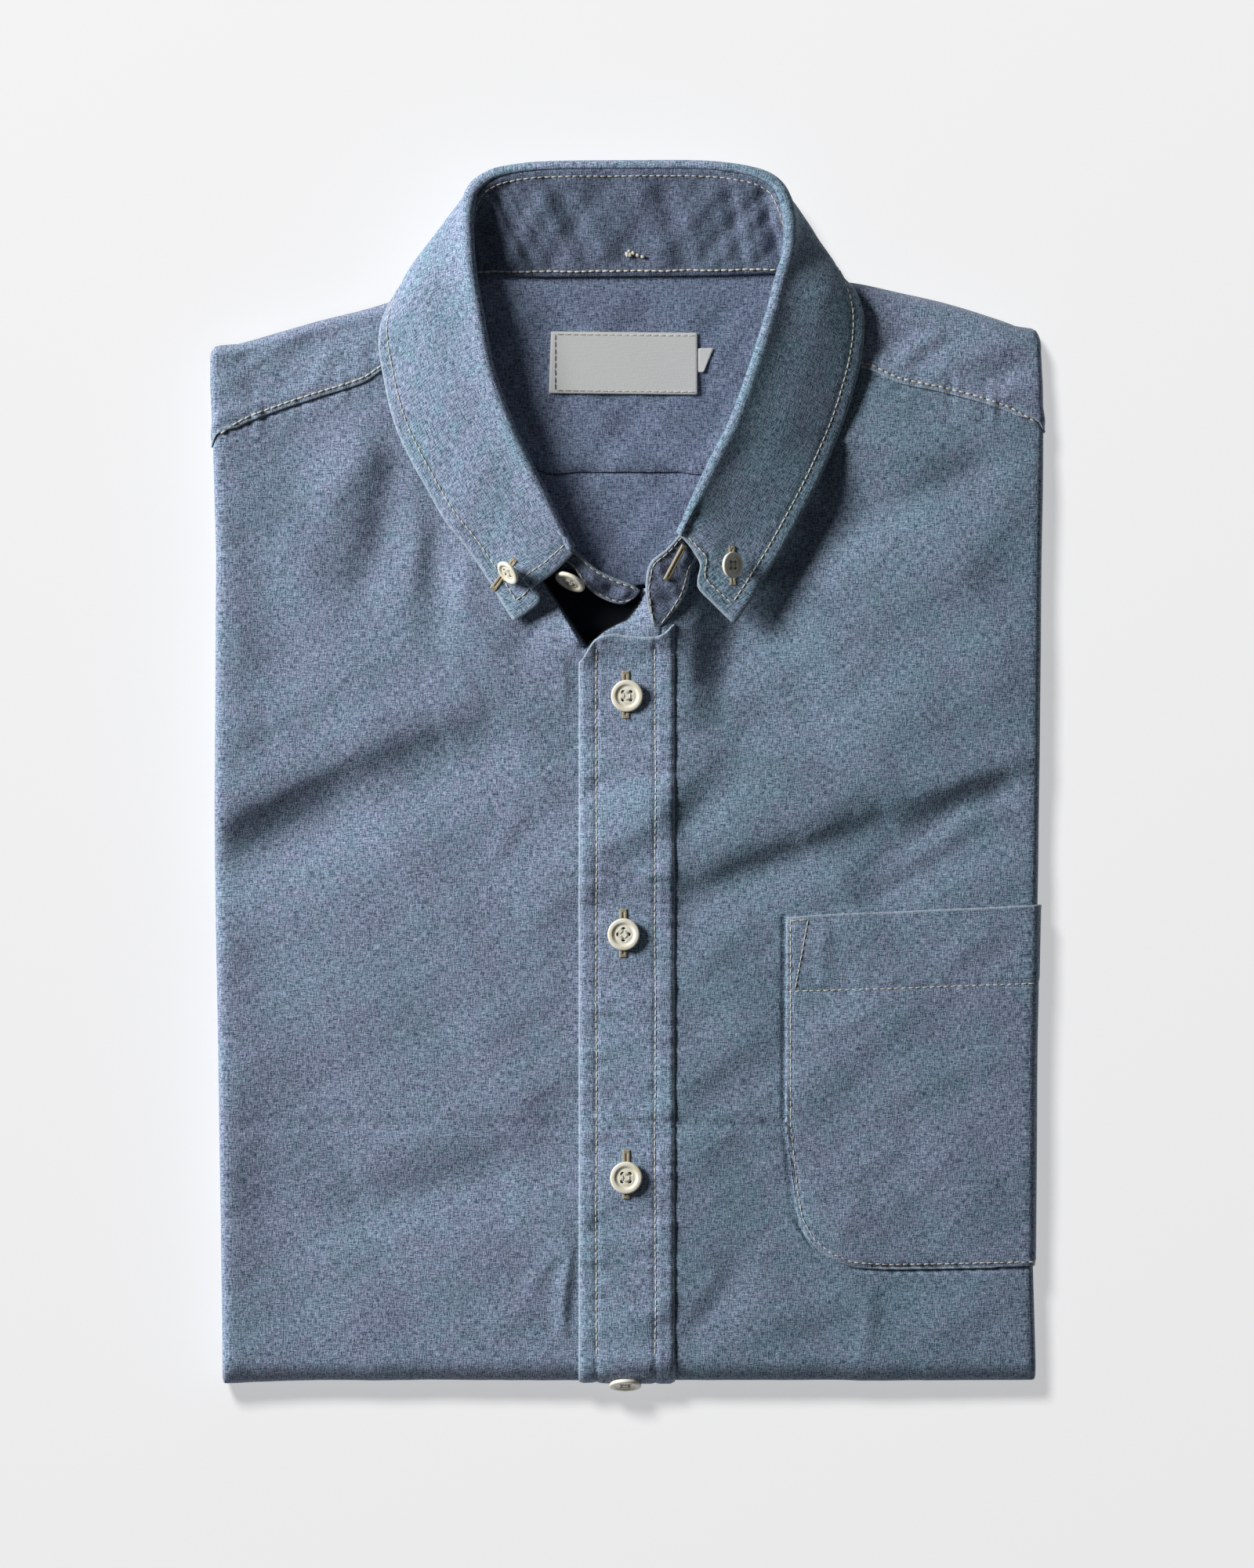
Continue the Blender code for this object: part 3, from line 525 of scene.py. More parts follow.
def unit(vectors):
    """Vectors by their own lengths."""
    return vectors / np.maximum(np.linalg.norm(vectors, axis=-1, keepdims=True), 1e-9)


def walked(points, axis=0):
    """The length of the way up to each point of a path, or of a grid along one of its axes."""
    steps = np.linalg.norm(np.diff(points, axis=axis), axis=-1)
    return np.insert(np.cumsum(steps, axis=axis), 0, 0.0, axis=axis)


def through(table_x, table_y, at):
    """A smooth curve through a table: between two rows a cubic whose slopes are the table's own differences."""
    table_x, table_y, at = np.asarray(table_x, float), np.asarray(table_y, float), np.asarray(at, float)
    slopes = np.gradient(table_y, table_x, axis=0)
    low = np.clip(np.searchsorted(table_x, at, side="right") - 1, 0, len(table_x) - 2)
    width = table_x[low + 1] - table_x[low]
    u = np.clip((at - table_x[low]) / width, 0.0, 1.0)
    extra = (slice(None),) * at.ndim + (None,) * (table_y.ndim - 1)
    u, width = u[extra], width[extra]
    return cubic(table_y[low], table_y[low + 1], slopes[low] * width, slopes[low + 1] * width, u)


def ripple(s, waves, seed):
    """A sum of sines along s, one for each (wavelength, height), with phases set by the seed."""
    phases = np.random.default_rng(seed).uniform(0, 2 * math.pi, len(waves))
    total = np.zeros_like(s)
    for (wavelength, height), phase in zip(waves, phases):
        total += height * np.sin(2 * math.pi * s / wavelength + phase)
    return total


def edge_x(side, y):
    """x of the bundle's outline at y, on the left (side below 0) or on the right."""
    return np.where(side < 0, np.interp(y, EDGE[:, 0], EDGE[:, 1]), np.interp(y, EDGE[:, 0], EDGE[:, 2]))


def fold_rise(x, y):
    """The main folds: each falls off as a bell with the distance from its line."""
    total = np.zeros(np.broadcast(x, y).shape)
    for x0, y0, x1, y1, half_width, rise in FOLDS:
        along = np.clip(((x - x0) * (x1 - x0) + (y - y0) * (y1 - y0)) / ((x1 - x0) ** 2 + (y1 - y0) ** 2), 0, 1)
        away = np.hypot(x - x0 - along * (x1 - x0), y - y0 - along * (y1 - y0))
        total += rise * np.exp(-((away / half_width) ** 2))
    hollow = neck_hollow(x, y)
    return np.minimum(total, np.where(hollow < IN_HOLLOW, hollow, total))


def neck_hollow(x, y):
    """The hollow over the placket's top: a pit with steep walls between two lips that meet towards the placket."""
    past_left = (x - np.interp(y, HOLLOW_LIPS[:, 0], HOLLOW_LIPS[:, 1])) * 0.83
    past_right = (np.interp(y, HOLLOW_LIPS[:, 0], HOLLOW_LIPS[:, 2]) - x) * 0.70
    sides = smoothstep((past_left + 0.8) / 1.8) * smoothstep((past_right + 0.2) / 1.3)
    return -HOLLOW * sides * smoothstep((y - 46.0) / 2.0) * (1 - smoothstep((y - 70) / 8))


def crease_rise(x, y):
    """The finer creases: a ridge along a bowed line, wider on one side than on the other, that dies out at its ends."""
    total = np.zeros(np.broadcast(x, y).shape)
    for x0, y0, x1, y1, bow, left, right, rise in CREASES:
        length = math.hypot(x1 - x0, y1 - y0)
        ux, uy = (x1 - x0) / length, (y1 - y0) / length
        along = ((x - x0) * ux + (y - y0) * uy) / length
        inside = np.clip(along, 0, 1)
        away = -(x - x0) * uy + (y - y0) * ux - 4 * bow * inside * (1 - inside)
        width = np.where(away > 0, left, right)
        past = (along - inside) * length
        fade = (4 * inside * (1 - inside)) ** 0.6
        total += rise * fade * np.exp(-((away / width) ** 2) - (past / 5.0) ** 2)
    return total


def washed(x, y):
    """The slight unevenness of washed cloth that was folded by hand, as crossed sines of unlike lengths."""
    return (
        ripple(x * 0.92 + y * 0.39, ((43.0, 0.12), (27.0, 0.05), (11.3, 0.02)), 3)
        + ripple(x * -0.45 + y * 0.89, ((51.0, 0.12), (23.0, 0.05), (13.1, 0.02)), 5)
        + ripple(x * 0.62 - y * 0.78, ((8.7, 0.03), (6.1, 0.022)), 7) * ripple(x * 0.5 + y * 0.8, ((41.0, 1.0),), 9)
    )


def seam_pucker(along, away, reach, seed):
    """Small cross waves along a seam that die out within reach of it."""
    waves = ripple(along, ((4.3, 0.45), (6.1, 0.35), (9.7, 0.3)), seed)
    return waves * (0.7 + ripple(along, ((53.0, 0.3),), seed + 1)) * np.exp(-((away / reach) ** 2))


def sewn(x, y):
    """What the sewing does to the fronts: puckers beside the placket, along the yoke seams and round the pocket, in
    shares of the pucker size."""
    beside = np.minimum(np.abs(x - PLACKET_HALF), np.abs(x + PLACKET_HALF))
    on_placket = (np.abs(x) < PLACKET_HALF + 14) & (y < 52)
    total = np.where(on_placket, 0.8 * seam_pucker(y, beside, 5.0, 11), 0.0)
    yoke = np.interp(x, LINES[:, 0], LINES[:, FRONT_TOP])
    total += np.where(np.abs(x) > 70, 1.5 * seam_pucker(x, y - yoke, 7.0, 13), 0.0)
    total -= np.where(np.abs(x) > 70, 1.0 * np.exp(-(((y - yoke + 0.9) / 0.9) ** 2)), 0.0)
    beside_pocket = pocket_edge(x, y)
    total += np.where(y < -44, 1.1 * seam_pucker(x + y, beside_pocket + 1.0, 5.0, 15), 0.0)
    groove = np.exp(-(((beside_pocket + 0.9) / 0.8) ** 2)) * (y < -49)
    groove += 0.3 * np.exp(-(((x - PLACKET_HALF - 0.6) / 0.7) ** 2)) * (y < 50) * (y > -206)
    return total - 2.0 * groove


def under_collar(x, y):
    """1 where the leaf lies close over the cloth, so that the fine creases stay low there, and 0 away from it."""
    edge = np.concatenate([COLLAR[:9, 8:10], COLLAR[-9:, 8:10]])
    near = np.full(np.broadcast(x, y).shape, 1e9)
    for px, py in edge:
        near = np.minimum(near, np.hypot(x - px, y - py))
    inside = (np.abs(x) < np.interp(y, LEAF_COVER[:, 0], LEAF_COVER[:, 1])) & (y > LEAF_COVER[0, 0])
    return np.where(inside, 1.0, 1 - smoothstep((near - 3) / 12))


def neck_rise(x, y):
    """The rise of the two fronts towards the neck at the placket's top: a bell along y, level across the placket."""
    return NECK_RISE * np.exp(-(((y - 53.0) / 6.5) ** 2)) * smoothstep((x + 24.0) / 8.0) * smoothstep((22.0 - x) / 14.0)


def left_lift(x):
    """The left margin curls up a little: the square of the way past its start."""
    return LEFT_LIFT * np.clip((-x - 106.0) / 42.0, 0.0, 1.0) ** 2


def plain_height(x, y):
    """The top face over the floor without its fine form: the crown, its fall to the sides and the main folds."""
    return np.interp(y, CROWN[:, 0], CROWN[:, 1]) - SIDE_FALL * (np.abs(x) / SIDE_X) ** 2.5 + fold_rise(x, y)


def top_height(x, y):
    """The same with the creases, the puckers, the rise to the neck and the curl of the left margin. Under the leaf
    only what sinks is kept whole."""
    sizes = bpy.context.scene.shirt_sizes
    fine = sizes.crease * (crease_rise(x, y) + washed(x, y)) + sizes.pucker / MM * sewn(x, y)
    fine = np.where(fine > 0, fine * (1 - 0.85 * under_collar(x, y)), fine)
    rise = np.where(neck_hollow(x, y) < IN_HOLLOW, 0.0, neck_rise(x, y))
    return plain_height(x, y) + rise + left_lift(x) + fine


def neck_floor(x, y):
    """The back's inner face in the neck opening, with its own slight folds."""
    floor = NECK_FLOOR + (NECK_FLOOR_BACK - NECK_FLOOR) * smoothstep((y - 156) / 19)
    soft = ripple(x * 0.8 + y * 0.6, ((26.0, 0.22), (15.0, 0.14), (8.0, 0.05)), 21)
    soft += ripple(x * 0.75 - y * 0.66, ((21.0, 0.16), (12.0, 0.10)), 23)
    return floor + 2.2 * soft * smoothstep((174 - y) / 10) - 0.25


def neck_height(x, y):
    """The top face sunk to the neck's floor between the two sides of the neck."""
    floor = neck_floor(x, y)
    roll = np.interp(y, NECK_ROLL[:, 0], NECK_ROLL[:, 1])
    return floor + (top_height(x, y) - floor) * smoothstep((np.abs(x) - roll + 11) / 30)


def row_y(place, x):
    """y at x of a place between the lines: 2.5 is halfway from the third line to the fourth."""
    start = BOTTOM_Y + plain_height(x, np.full_like(x, BOTTOM_Y + HALF_HEIGHT)) / 2
    lines = [start] + [through(LINES[:, 0], LINES[:, line], x) for line in range(1, 7)]
    place = np.clip(place, 0.0, 6.0)
    total = np.zeros(np.broadcast(place, x).shape)
    for line, y in enumerate(lines):
        total += np.clip(1 - np.abs(place - line), 0, 1) * y
    return total


def side_round(turn):
    """How far round a side fold the cloth stands out, from 0 on the top to 1 at the side: the root of the sine, which
    is squarer than a circle."""
    return np.sqrt(np.abs(np.sin(turn)))


def folded_skin(place, column, out=0.0, fine=True):
    """The bundle's skin. place below 0 is minus the angle round the bottom fold and above 6 is 6 plus the angle round
    the shoulder fold. column holds x, the side (-1, 0 or 1) and the angle round that side fold. out moves the point
    out along the skin. Gives the points and the cloth's own flat coordinates."""
    place, (x, side, turn) = place[:, None], (part[None, :] for part in column)
    fold = np.clip(-place, 0, None)
    shoulder = np.clip(place - 6, 0, None)
    y = row_y(place, x)
    radius = SIDE_ROUND * plain_height(side * PROBE_X + 0 * y, y)
    radius = radius * np.where(fold > 0, 1 - 0.5 * np.sin(np.minimum(fold, math.pi / 2)), 1.0)
    x = np.where(side == 0, x + 0 * y, edge_x(side, y) - side * radius)
    across = side * (radius + out) * side_round(turn)
    dip = radius * (1 - np.cos(turn))
    lift = out * np.cos(turn)
    rise = top_height if fine else plain_height
    height = np.where(place > FRONT_TOP + 0.001, neck_height(x, y), rise(x, y))
    middle = height / 2
    reach = middle - dip + lift
    split = LOBE_SPLIT * height
    share = np.maximum(1 - dip / (height - split), 0.05)
    z = np.where(fold > 0, middle + reach * np.cos(fold), height - dip + lift)
    z = np.where(shoulder > 0, split + ((height - split) * share + lift) * np.cos(shoulder), z)
    moved_y = y - np.where(fold > 0, reach * np.sin(fold), 0.0)
    moved_y += np.where(shoulder > 0, (SHOULDER_ROUND + out) * share * np.sin(shoulder), 0.0)
    points = np.stack([x + across, moved_y, z], axis=-1)
    cloth = np.stack([x + side * radius * turn, y - middle * fold + 6.0 * shoulder], axis=-1)
    return points, cloth


def columns_between(left, right, step, wrap=165.0, closer=()):
    """Columns of the skin from left to right. Past the sides they go on round the side folds by the wrap angle.
    closer gives stretches of x that take columns 0.75 mm apart."""
    low, high = max(left, -FLAT_X), min(right, FLAT_X)
    flat = np.linspace(low, high, max(2, round((high - low) / step) + 1))
    for start, end in closer:
        start, end = max(start, low), min(end, high)
        if end > start:
            flat = np.concatenate([flat[(flat < start - 0.4) | (flat > end + 0.4)], np.arange(start, end, 0.75)])
    flat = np.unique(np.concatenate([flat, [low, high]]))
    xs, sides, turns = [flat], [0 * flat], [0 * flat]
    angles = np.radians(np.linspace(0, wrap, WRAP_COLUMNS))
    outwards = WRAP_X + (SIDE_X - WRAP_X) * np.sin(np.minimum(angles, math.pi / 2))
    if left < -SIDE_X:
        xs.insert(0, -outwards[::-1])
        sides.insert(0, np.full(WRAP_COLUMNS, -1.0))
        turns.insert(0, angles[::-1])
    if right > SIDE_X:
        xs.append(outwards)
        sides.append(np.full(WRAP_COLUMNS, 1.0))
        turns.append(angles)
    return np.concatenate(xs), np.concatenate(sides), np.concatenate(turns)


def places_between(foot, top, step, fold=0.0, shoulder=0.0):
    """Places of the skin from foot to top, about step apart, with the wraps round the bottom and the shoulder."""
    lengths = (32, 129, 140, 30, 14, 22)  # of the cloth between the lines
    places = [np.array([foot])]
    for line in range(6):
        low, high = max(foot, line), min(top, line + 1)
        if high > low:
            count = max(2, round(lengths[line] * (high - low) / step))
            places.append(np.linspace(low, high, count + 1)[1:])
    if fold:
        places.insert(0, -np.radians(np.linspace(fold, 0, 22))[:-1])
    if shoulder:
        places.append(6 + np.radians(np.linspace(0, shoulder, 12))[1:])
    return np.concatenate(places)


# ---------------------------------------------------------------- meshes


def make_mesh(name, points, faces, cloth=None, from_edge=None, tint=None, painted_shade_and_unfaded=None):
    """A mesh from arrays of points in millimetres and of four-cornered faces."""
    mesh = bpy.data.meshes.new(name)
    mesh.vertices.add(len(points))
    mesh.vertices.foreach_set("co", np.ascontiguousarray(points * MM, np.float32).ravel())
    mesh.loops.add(faces.size)
    mesh.loops.foreach_set("vertex_index", np.ascontiguousarray(faces, np.int32).ravel())
    mesh.polygons.add(len(faces))
    mesh.polygons.foreach_set("loop_start", np.arange(0, faces.size, faces.shape[1], dtype=np.int32))
    mesh.update(calc_edges=True)
    if cloth is not None:
        layer = mesh.uv_layers.new(name="cloth")
        layer.uv.foreach_set("vector", np.ascontiguousarray(cloth[faces.ravel()] * MM, np.float32).ravel())
    for label, values in (("from_edge", from_edge), ("tint", tint), ("painted_shade_and_unfaded", painted_shade_and_unfaded)):
        if values is not None:
            mesh.attributes.new(label, "FLOAT", "POINT").data.foreach_set("value", values.astype(np.float32).ravel())
    mesh.validate()
    mesh.shade_smooth()
    return mesh


def grid_faces(rows, columns, start=0, around=False):
    """Four-cornered faces of a grid of rows and columns, as an array. around joins the last column to the first."""
    index = start + np.arange(rows * columns).reshape(rows, columns)
    if around:
        index = np.concatenate([index, index[:, :1]], axis=1)
    return np.stack([index[:-1, :-1], index[:-1, 1:], index[1:, 1:], index[1:, :-1]], axis=-1).reshape(-1, 4)


def border(index):
    """A grid's border points in one loop: along the foot, up the right side, back along the top and down the left."""
    return np.concatenate([index[0, :-1], index[:-1, -1], index[-1, :0:-1], index[:0:-1, 0]])


def grid_normals(points):
    """Unit normals of a grid of points: the cross product of its differences along the rows and the columns."""
    return unit(np.cross(np.gradient(points, axis=1), np.gradient(points, axis=0)))


def shell_arrays(points, thickness, outer=0.0):
    """A closed wall round a grid: one face at outer share of the thickness over the grid, the other under it, and a
    rounded rim. Gives the points, the faces, and for each point the grid point that it came from."""
    rows, columns = points.shape[:2]
    normals = grid_normals(points)
    thickness = np.broadcast_to(thickness, (rows, columns))[..., None]
    top = (points + normals * thickness * outer).reshape(-1, 3)
    under = (points - normals * thickness * (1 - outer)).reshape(-1, 3)
    index = np.arange(rows * columns).reshape(rows, columns)
    loop = border(index)
    inner = np.concatenate([index[1, :-1], index[:-1, -2], index[-2, :0:-1], index[:0:-1, 1]])
    flat = points.reshape(-1, 3)
    away = unit(flat[loop] - flat[inner])
    middle = (top[loop] + under[loop]) / 2 + away * thickness.reshape(-1, 1)[loop] * 0.4
    count, size = rows * columns, len(loop)
    rim = 2 * count + np.arange(size)
    following = np.roll(rim, -1)
    next_loop = np.roll(loop, -1)
    faces = np.concatenate(
        [
            grid_faces(rows, columns),
            grid_faces(rows, columns, count)[:, ::-1],
            np.stack([loop, rim, following, next_loop], axis=1),
            np.stack([rim, loop + count, next_loop + count, following], axis=1),
        ]
    )
    source = np.concatenate([np.arange(count), np.arange(count), loop])
    return np.concatenate([top, under, middle]), faces, source


def edge_distance(points, sides="ftlr"):
    """For each point of a grid the distance along the cloth to the nearest of its borders: foot, top, left, right."""
    up, over = walked(points), walked(points, 1)
    near = np.full(points.shape[:2], FAR)
    for letter, distance in (("f", up), ("t", up[-1] - up), ("l", over), ("r", over[:, -1:] - over)):
        if letter in sides:
            near = np.minimum(near, distance)
    return near


def add_piece(name, mesh, material, node=None):
    """Puts a finished mesh in the scene, riding on the one body and standing for its solid."""
    mesh.materials.append(material)
    piece = bpy.data.objects.new(name, mesh)
    bpy.context.scene.collection.objects.link(piece)
    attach(piece, "root")
    if node:
        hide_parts(node)
    return piece


def add_cloth(
    name, node, points, cloth, thickness, material,
    outer=0.0, edges="ftlr", tint=0.0, painted_shade_and_unfaded=0.0,
):  # fmt: skip
    """A cloth shell round a grid of points, with its flat coordinates, its distance from the sewn edges and its cut.
    edges names those edges, or is that distance. tint greens the cloth, and the last argument darkens it towards
    the blue yarn: painted shade in the neck hollow and on the wearer's left side, there partly also less-faded cloth."""
    found, faces, source = shell_arrays(points, thickness, outer)
    near = edge_distance(points, edges) if isinstance(edges, str) else edges
    shade = np.broadcast_to(tint, points.shape[:2]).ravel()[source]
    # Darkening towards the blue yarn: painted shade, and on the wearer's left side partly less-faded cloth.
    kept = np.broadcast_to(painted_shade_and_unfaded, points.shape[:2]).ravel()[source]
    mesh = make_mesh(name, found, faces, cloth.reshape(-1, 2)[source], near.ravel()[source], shade, kept)
    piece = add_piece(name, mesh, material, node)


def join_parts(parts):
    """Several (points, faces) as one, with the faces renumbered."""
    starts = np.cumsum([0] + [len(points) for points, _ in parts[:-1]])
    return (
        np.concatenate([points for points, _ in parts]),
        np.concatenate([faces + start for (_, faces), start in zip(parts, starts)]),
    )


# ---------------------------------------------------------------- materials


def new_group(name, inputs, outputs):
    """An empty node group with its sockets, and its two end nodes."""
    group = bpy.data.node_groups.new(name, "ShaderNodeTree")
    for label, kind in inputs:
        group.interface.new_socket(name=label, in_out="INPUT", socket_type=kind)
    for label, kind in outputs:
        group.interface.new_socket(name=label, in_out="OUTPUT", socket_type=kind)
    return group, group.nodes.new("NodeGroupInput"), group.nodes.new("NodeGroupOutput")


def node(tree, kind, links=(), **settings):
    """A node with its settings, each input either linked to a socket or set to a value."""
    made = tree.nodes.new(kind)
    for label, value in settings.items():
        setattr(made, label, value)
    for key, value in dict(links).items():
        if isinstance(value, bpy.types.NodeSocket):
            tree.links.new(value, made.inputs[key])
        else:
            made.inputs[key].default_value = value
    return made


def maths(tree, operation, first, second=None, third=None, clamp=False):
    """The output of a math node of one to three inputs."""
    links = {index: value for index, value in enumerate((first, second, third)) if value is not None}
    return node(tree, "ShaderNodeMath", links, operation=operation, use_clamp=clamp).outputs[0]


def varied(tree, noise, by, start, clamp=False):
    """start changed by a noise that swings round 0.5."""
    return maths(tree, "MULTIPLY_ADD", maths(tree, "SUBTRACT", noise, 0.5), by, start, clamp)


def relief(tree, shader, height, strength, distance):
    """Fine form from a height, on the shader's normal."""
    bump = node(tree, "ShaderNodeBump", {"Height": height, "Strength": strength, "Distance": distance})
    tree.links.new(bump.outputs[0], shader.inputs["Normal"])


def mix_colour(tree, share, first, second):
    """The output of a node that mixes two colours."""
    made = node(tree, "ShaderNodeMix", {}, data_type="RGBA")
    for index, value in ((0, share), (6, first), (7, second)):
        if isinstance(value, bpy.types.NodeSocket):
            tree.links.new(value, made.inputs[index])
        else:
            made.inputs[index].default_value = value
    return made.outputs[2]


def stretched_noise(tree, vector, scale, detail=2.0, roughness=0.6):
    """Noise on the cloth's coordinates, stretched by a scale for each direction, round 0.5."""
    mapped = node(tree, "ShaderNodeMapping", {"Vector": vector, "Scale": scale})
    made = node(tree, "ShaderNodeTexNoise", {"Vector": mapped.outputs[0]})
    made.inputs["Scale"].default_value = 1.0
    made.inputs["Detail"].default_value = detail
    made.inputs["Roughness"].default_value = roughness
    return made.outputs[0]


def chambray_weave():
    """Blue warp and pale slubbed weft, from the cloth's own coordinates: a mask from blue (0) to pale (1), a slow
    change of hue, and a height. The yarns are stretched noise along and across, and the slubs are longer streaks."""
    found = bpy.data.node_groups.get("chambray_weave")
    if found:
        return found
    group, entry, result = new_group(
        "chambray_weave",
        [("Vector", "NodeSocketVector"), ("Slub", "NodeSocketFloat")],
        [("Pale", "NodeSocketFloat"), ("Hue", "NodeSocketFloat"), ("Height", "NodeSocketFloat")],
    )
    cloth = entry.outputs["Vector"]
    warp = stretched_noise(group, cloth, (2500, 420, 1), 1.0)
    weft = stretched_noise(group, cloth, (420, 2500, 1), 1.0)
    grain = stretched_noise(group, cloth, (2100, 2100, 1), 1.0)
    slub_up = stretched_noise(group, cloth, (1300, 130, 1), 1.0)
    slub_over = stretched_noise(group, cloth, (130, 1300, 1), 1.0)
    heather = stretched_noise(group, cloth, (230, 230, 1), 3.0)
    slow = stretched_noise(group, cloth, (34, 34, 1), 3.0, 0.7)
    yarns = maths(group, "ADD", warp, weft)
    slubs = maths(group, "ADD", slub_up, slub_over)
    slubs = maths(group, "MULTIPLY", maths(group, "SUBTRACT", slubs, 1.0), entry.outputs["Slub"])
    pale = maths(group, "MULTIPLY_ADD", maths(group, "SUBTRACT", yarns, 1.0), 1.5, 0.44)
    pale = maths(group, "ADD", varied(group, grain, 1.4, pale), slubs)
    pale = varied(group, slow, 0.16, varied(group, heather, 0.08, pale), clamp=True)
    hue = varied(group, heather, 3.0, varied(group, slow, 4.5, 0.4), clamp=True)
    height = maths(group, "MULTIPLY_ADD", slubs, 0.5, maths(group, "ADD", yarns, grain))
    for label, value in (("Pale", pale), ("Hue", hue), ("Height", height)):
        group.links.new(value, result.inputs[label])
    return group


def worn_edges():
    """How far the cloth is rubbed pale: all of it at a sewn edge, broken up by noise, and gone within a millimetre."""
    found = bpy.data.node_groups.get("worn_edges")
    if found:
        return found
    group, entry, result = new_group(
        "worn_edges",
        [("Distance", "NodeSocketFloat"), ("Vector", "NodeSocketVector"), ("Reach", "NodeSocketFloat")],
        [("Mask", "NodeSocketFloat")],
    )
    rub = stretched_noise(group, entry.outputs["Vector"], (500, 500, 1), 2.0)
    reach = maths(group, "MULTIPLY", entry.outputs["Reach"], maths(group, "ADD", rub, 0.5))
    mask = maths(group, "SUBTRACT", 1.0, maths(group, "DIVIDE", entry.outputs["Distance"], reach), clamp=True)
    group.links.new(maths(group, "POWER", mask, 0.7), result.inputs["Mask"])
    return group


def base_material(name, roughness):
    """A new material and its shader. A name that is taken is refused, since the frame brings plain ones of its own."""
    material = bpy.data.materials.new(name)
    if material.name != name:
        raise RuntimeError(f"a material named {name} is there already")
    material.use_nodes = True
    shader = material.node_tree.nodes["Principled BSDF"]
    shader.inputs["Roughness"].default_value = roughness
    return material, material.node_tree, shader


def opaque(colour):
    return (*colour, 1.0)


def shaded(colour, shares):
    """A colour with each of its parts times its own share, or all times one share."""
    return tuple(part * share for part, share in zip(colour, np.broadcast_to(shares, 3).tolist()))


def chambray_material(name, warp, weft, worn, teal=0.6):
    """Chambray: the weave group colours it between the two yarns, pale where an edge is rubbed, darkened by an
    attribute for painted shade and less-faded cloth, with a fine relief.
    """
    found = bpy.data.materials.get(name)
    if found:
        return found
    material, tree, shader = base_material(name, 0.92)
    shader.inputs["Sheen Weight"].default_value = 0.12
    shader.inputs["Sheen Roughness"].default_value = 0.5
    shader.inputs["Specular IOR Level"].default_value = 0.25
    cloth = node(tree, "ShaderNodeUVMap", uv_map="cloth").outputs[0]
    weave = node(tree, "ShaderNodeGroup", node_tree=chambray_weave())
    tree.links.new(cloth, weave.inputs["Vector"])
    weave.inputs["Slub"].default_value = 0.35
    tint = node(tree, "ShaderNodeAttribute", attribute_name="tint").outputs["Fac"]
    green = maths(tree, "MULTIPLY_ADD", tint, 0.6, maths(tree, "MULTIPLY", weave.outputs["Hue"], teal), clamp=True)
    blue = mix_colour(tree, green, opaque(warp), opaque(shaded(warp, GREEN_WARP)))
    pale = mix_colour(tree, green, opaque(weft), opaque(shaded(weft, GREEN_WEFT)))
    colour = mix_colour(tree, weave.outputs["Pale"], blue, pale)
    edge = node(tree, "ShaderNodeAttribute", attribute_name="from_edge").outputs["Fac"]
    rubbed = node(tree, "ShaderNodeGroup", {"Distance": edge, "Vector": cloth, "Reach": 0.75}, node_tree=worn_edges())
    share = maths(tree, "MULTIPLY", rubbed.outputs["Mask"], 0.55)
    colour = mix_colour(tree, share, colour, opaque(worn))
    # Painted shade: this attribute darkens the cloth towards the blue yarn at 0.12, in the neck hollow and, partly as
    # less-faded cloth, on the wearer's left side.
    painted_shade_and_unfaded = node(tree, "ShaderNodeAttribute", attribute_name="painted_shade_and_unfaded").outputs["Fac"]
    colour = mix_colour(tree, painted_shade_and_unfaded, colour, opaque(shaded(warp, 0.12)))
    tree.links.new(colour, shader.inputs["Base Color"])
    crumple = stretched_noise(tree, cloth, (190, 190, 1), 3.0, 0.55)
    height = maths(tree, "MULTIPLY_ADD", crumple, 0.9, weave.outputs["Height"])
    relief(tree, shader, height, 0.55, 0.00022)
    return material


def thread_material(name, colour, dark):
    """Twisted sewing thread: slow and fine noise between two shades, with a fine relief."""
    found = bpy.data.materials.get(name)
    if found:
        return found
    material, tree, shader = base_material(name, 0.8)
    place = node(tree, "ShaderNodeTexCoord").outputs["Object"]
    fine = stretched_noise(tree, place, (2500, 2500, 2500), 2.0)
    slow = stretched_noise(tree, place, (160, 160, 160), 2.0)
    share = varied(tree, fine, 1.6, slow, clamp=True)
    tree.links.new(mix_colour(tree, share, opaque(dark), opaque(colour)), shader.inputs["Base Color"])
    relief(tree, shader, fine, 0.5, 0.0001)
    return material


def button_material(colour):
    """Ivory resin: cloudy, slightly yellower in places, smooth and glossy, with painted shade in its holes."""
    material, tree, shader = base_material("ivory_resin", 0.32)
    shader.inputs["Coat Weight"].default_value = 0.25
    place = node(tree, "ShaderNodeTexCoord").outputs["Object"]
    cloud = stretched_noise(tree, place, (260, 260, 260), 3.0)
    cloud = varied(tree, cloud, 2.4, 0.4, clamp=True)
    yellow = opaque(shaded(colour, (0.88, 0.82, 0.66)))
    shade = mix_colour(tree, cloud, opaque(colour), yellow)
    # Painted shade: the holes' pit mask darkens them nearly to black.
    depth = node(tree, "ShaderNodeAttribute", attribute_name="from_edge").outputs["Fac"]
    shade = mix_colour(tree, depth, shade, (0.05, 0.035, 0.02, 1.0))
    tree.links.new(shade, shader.inputs["Base Color"])
    fine = stretched_noise(tree, place, (900, 900, 900), 2.0)
    tree.links.new(maths(tree, "MULTIPLY_ADD", fine, 0.25, 0.22), shader.inputs["Roughness"])
    return material


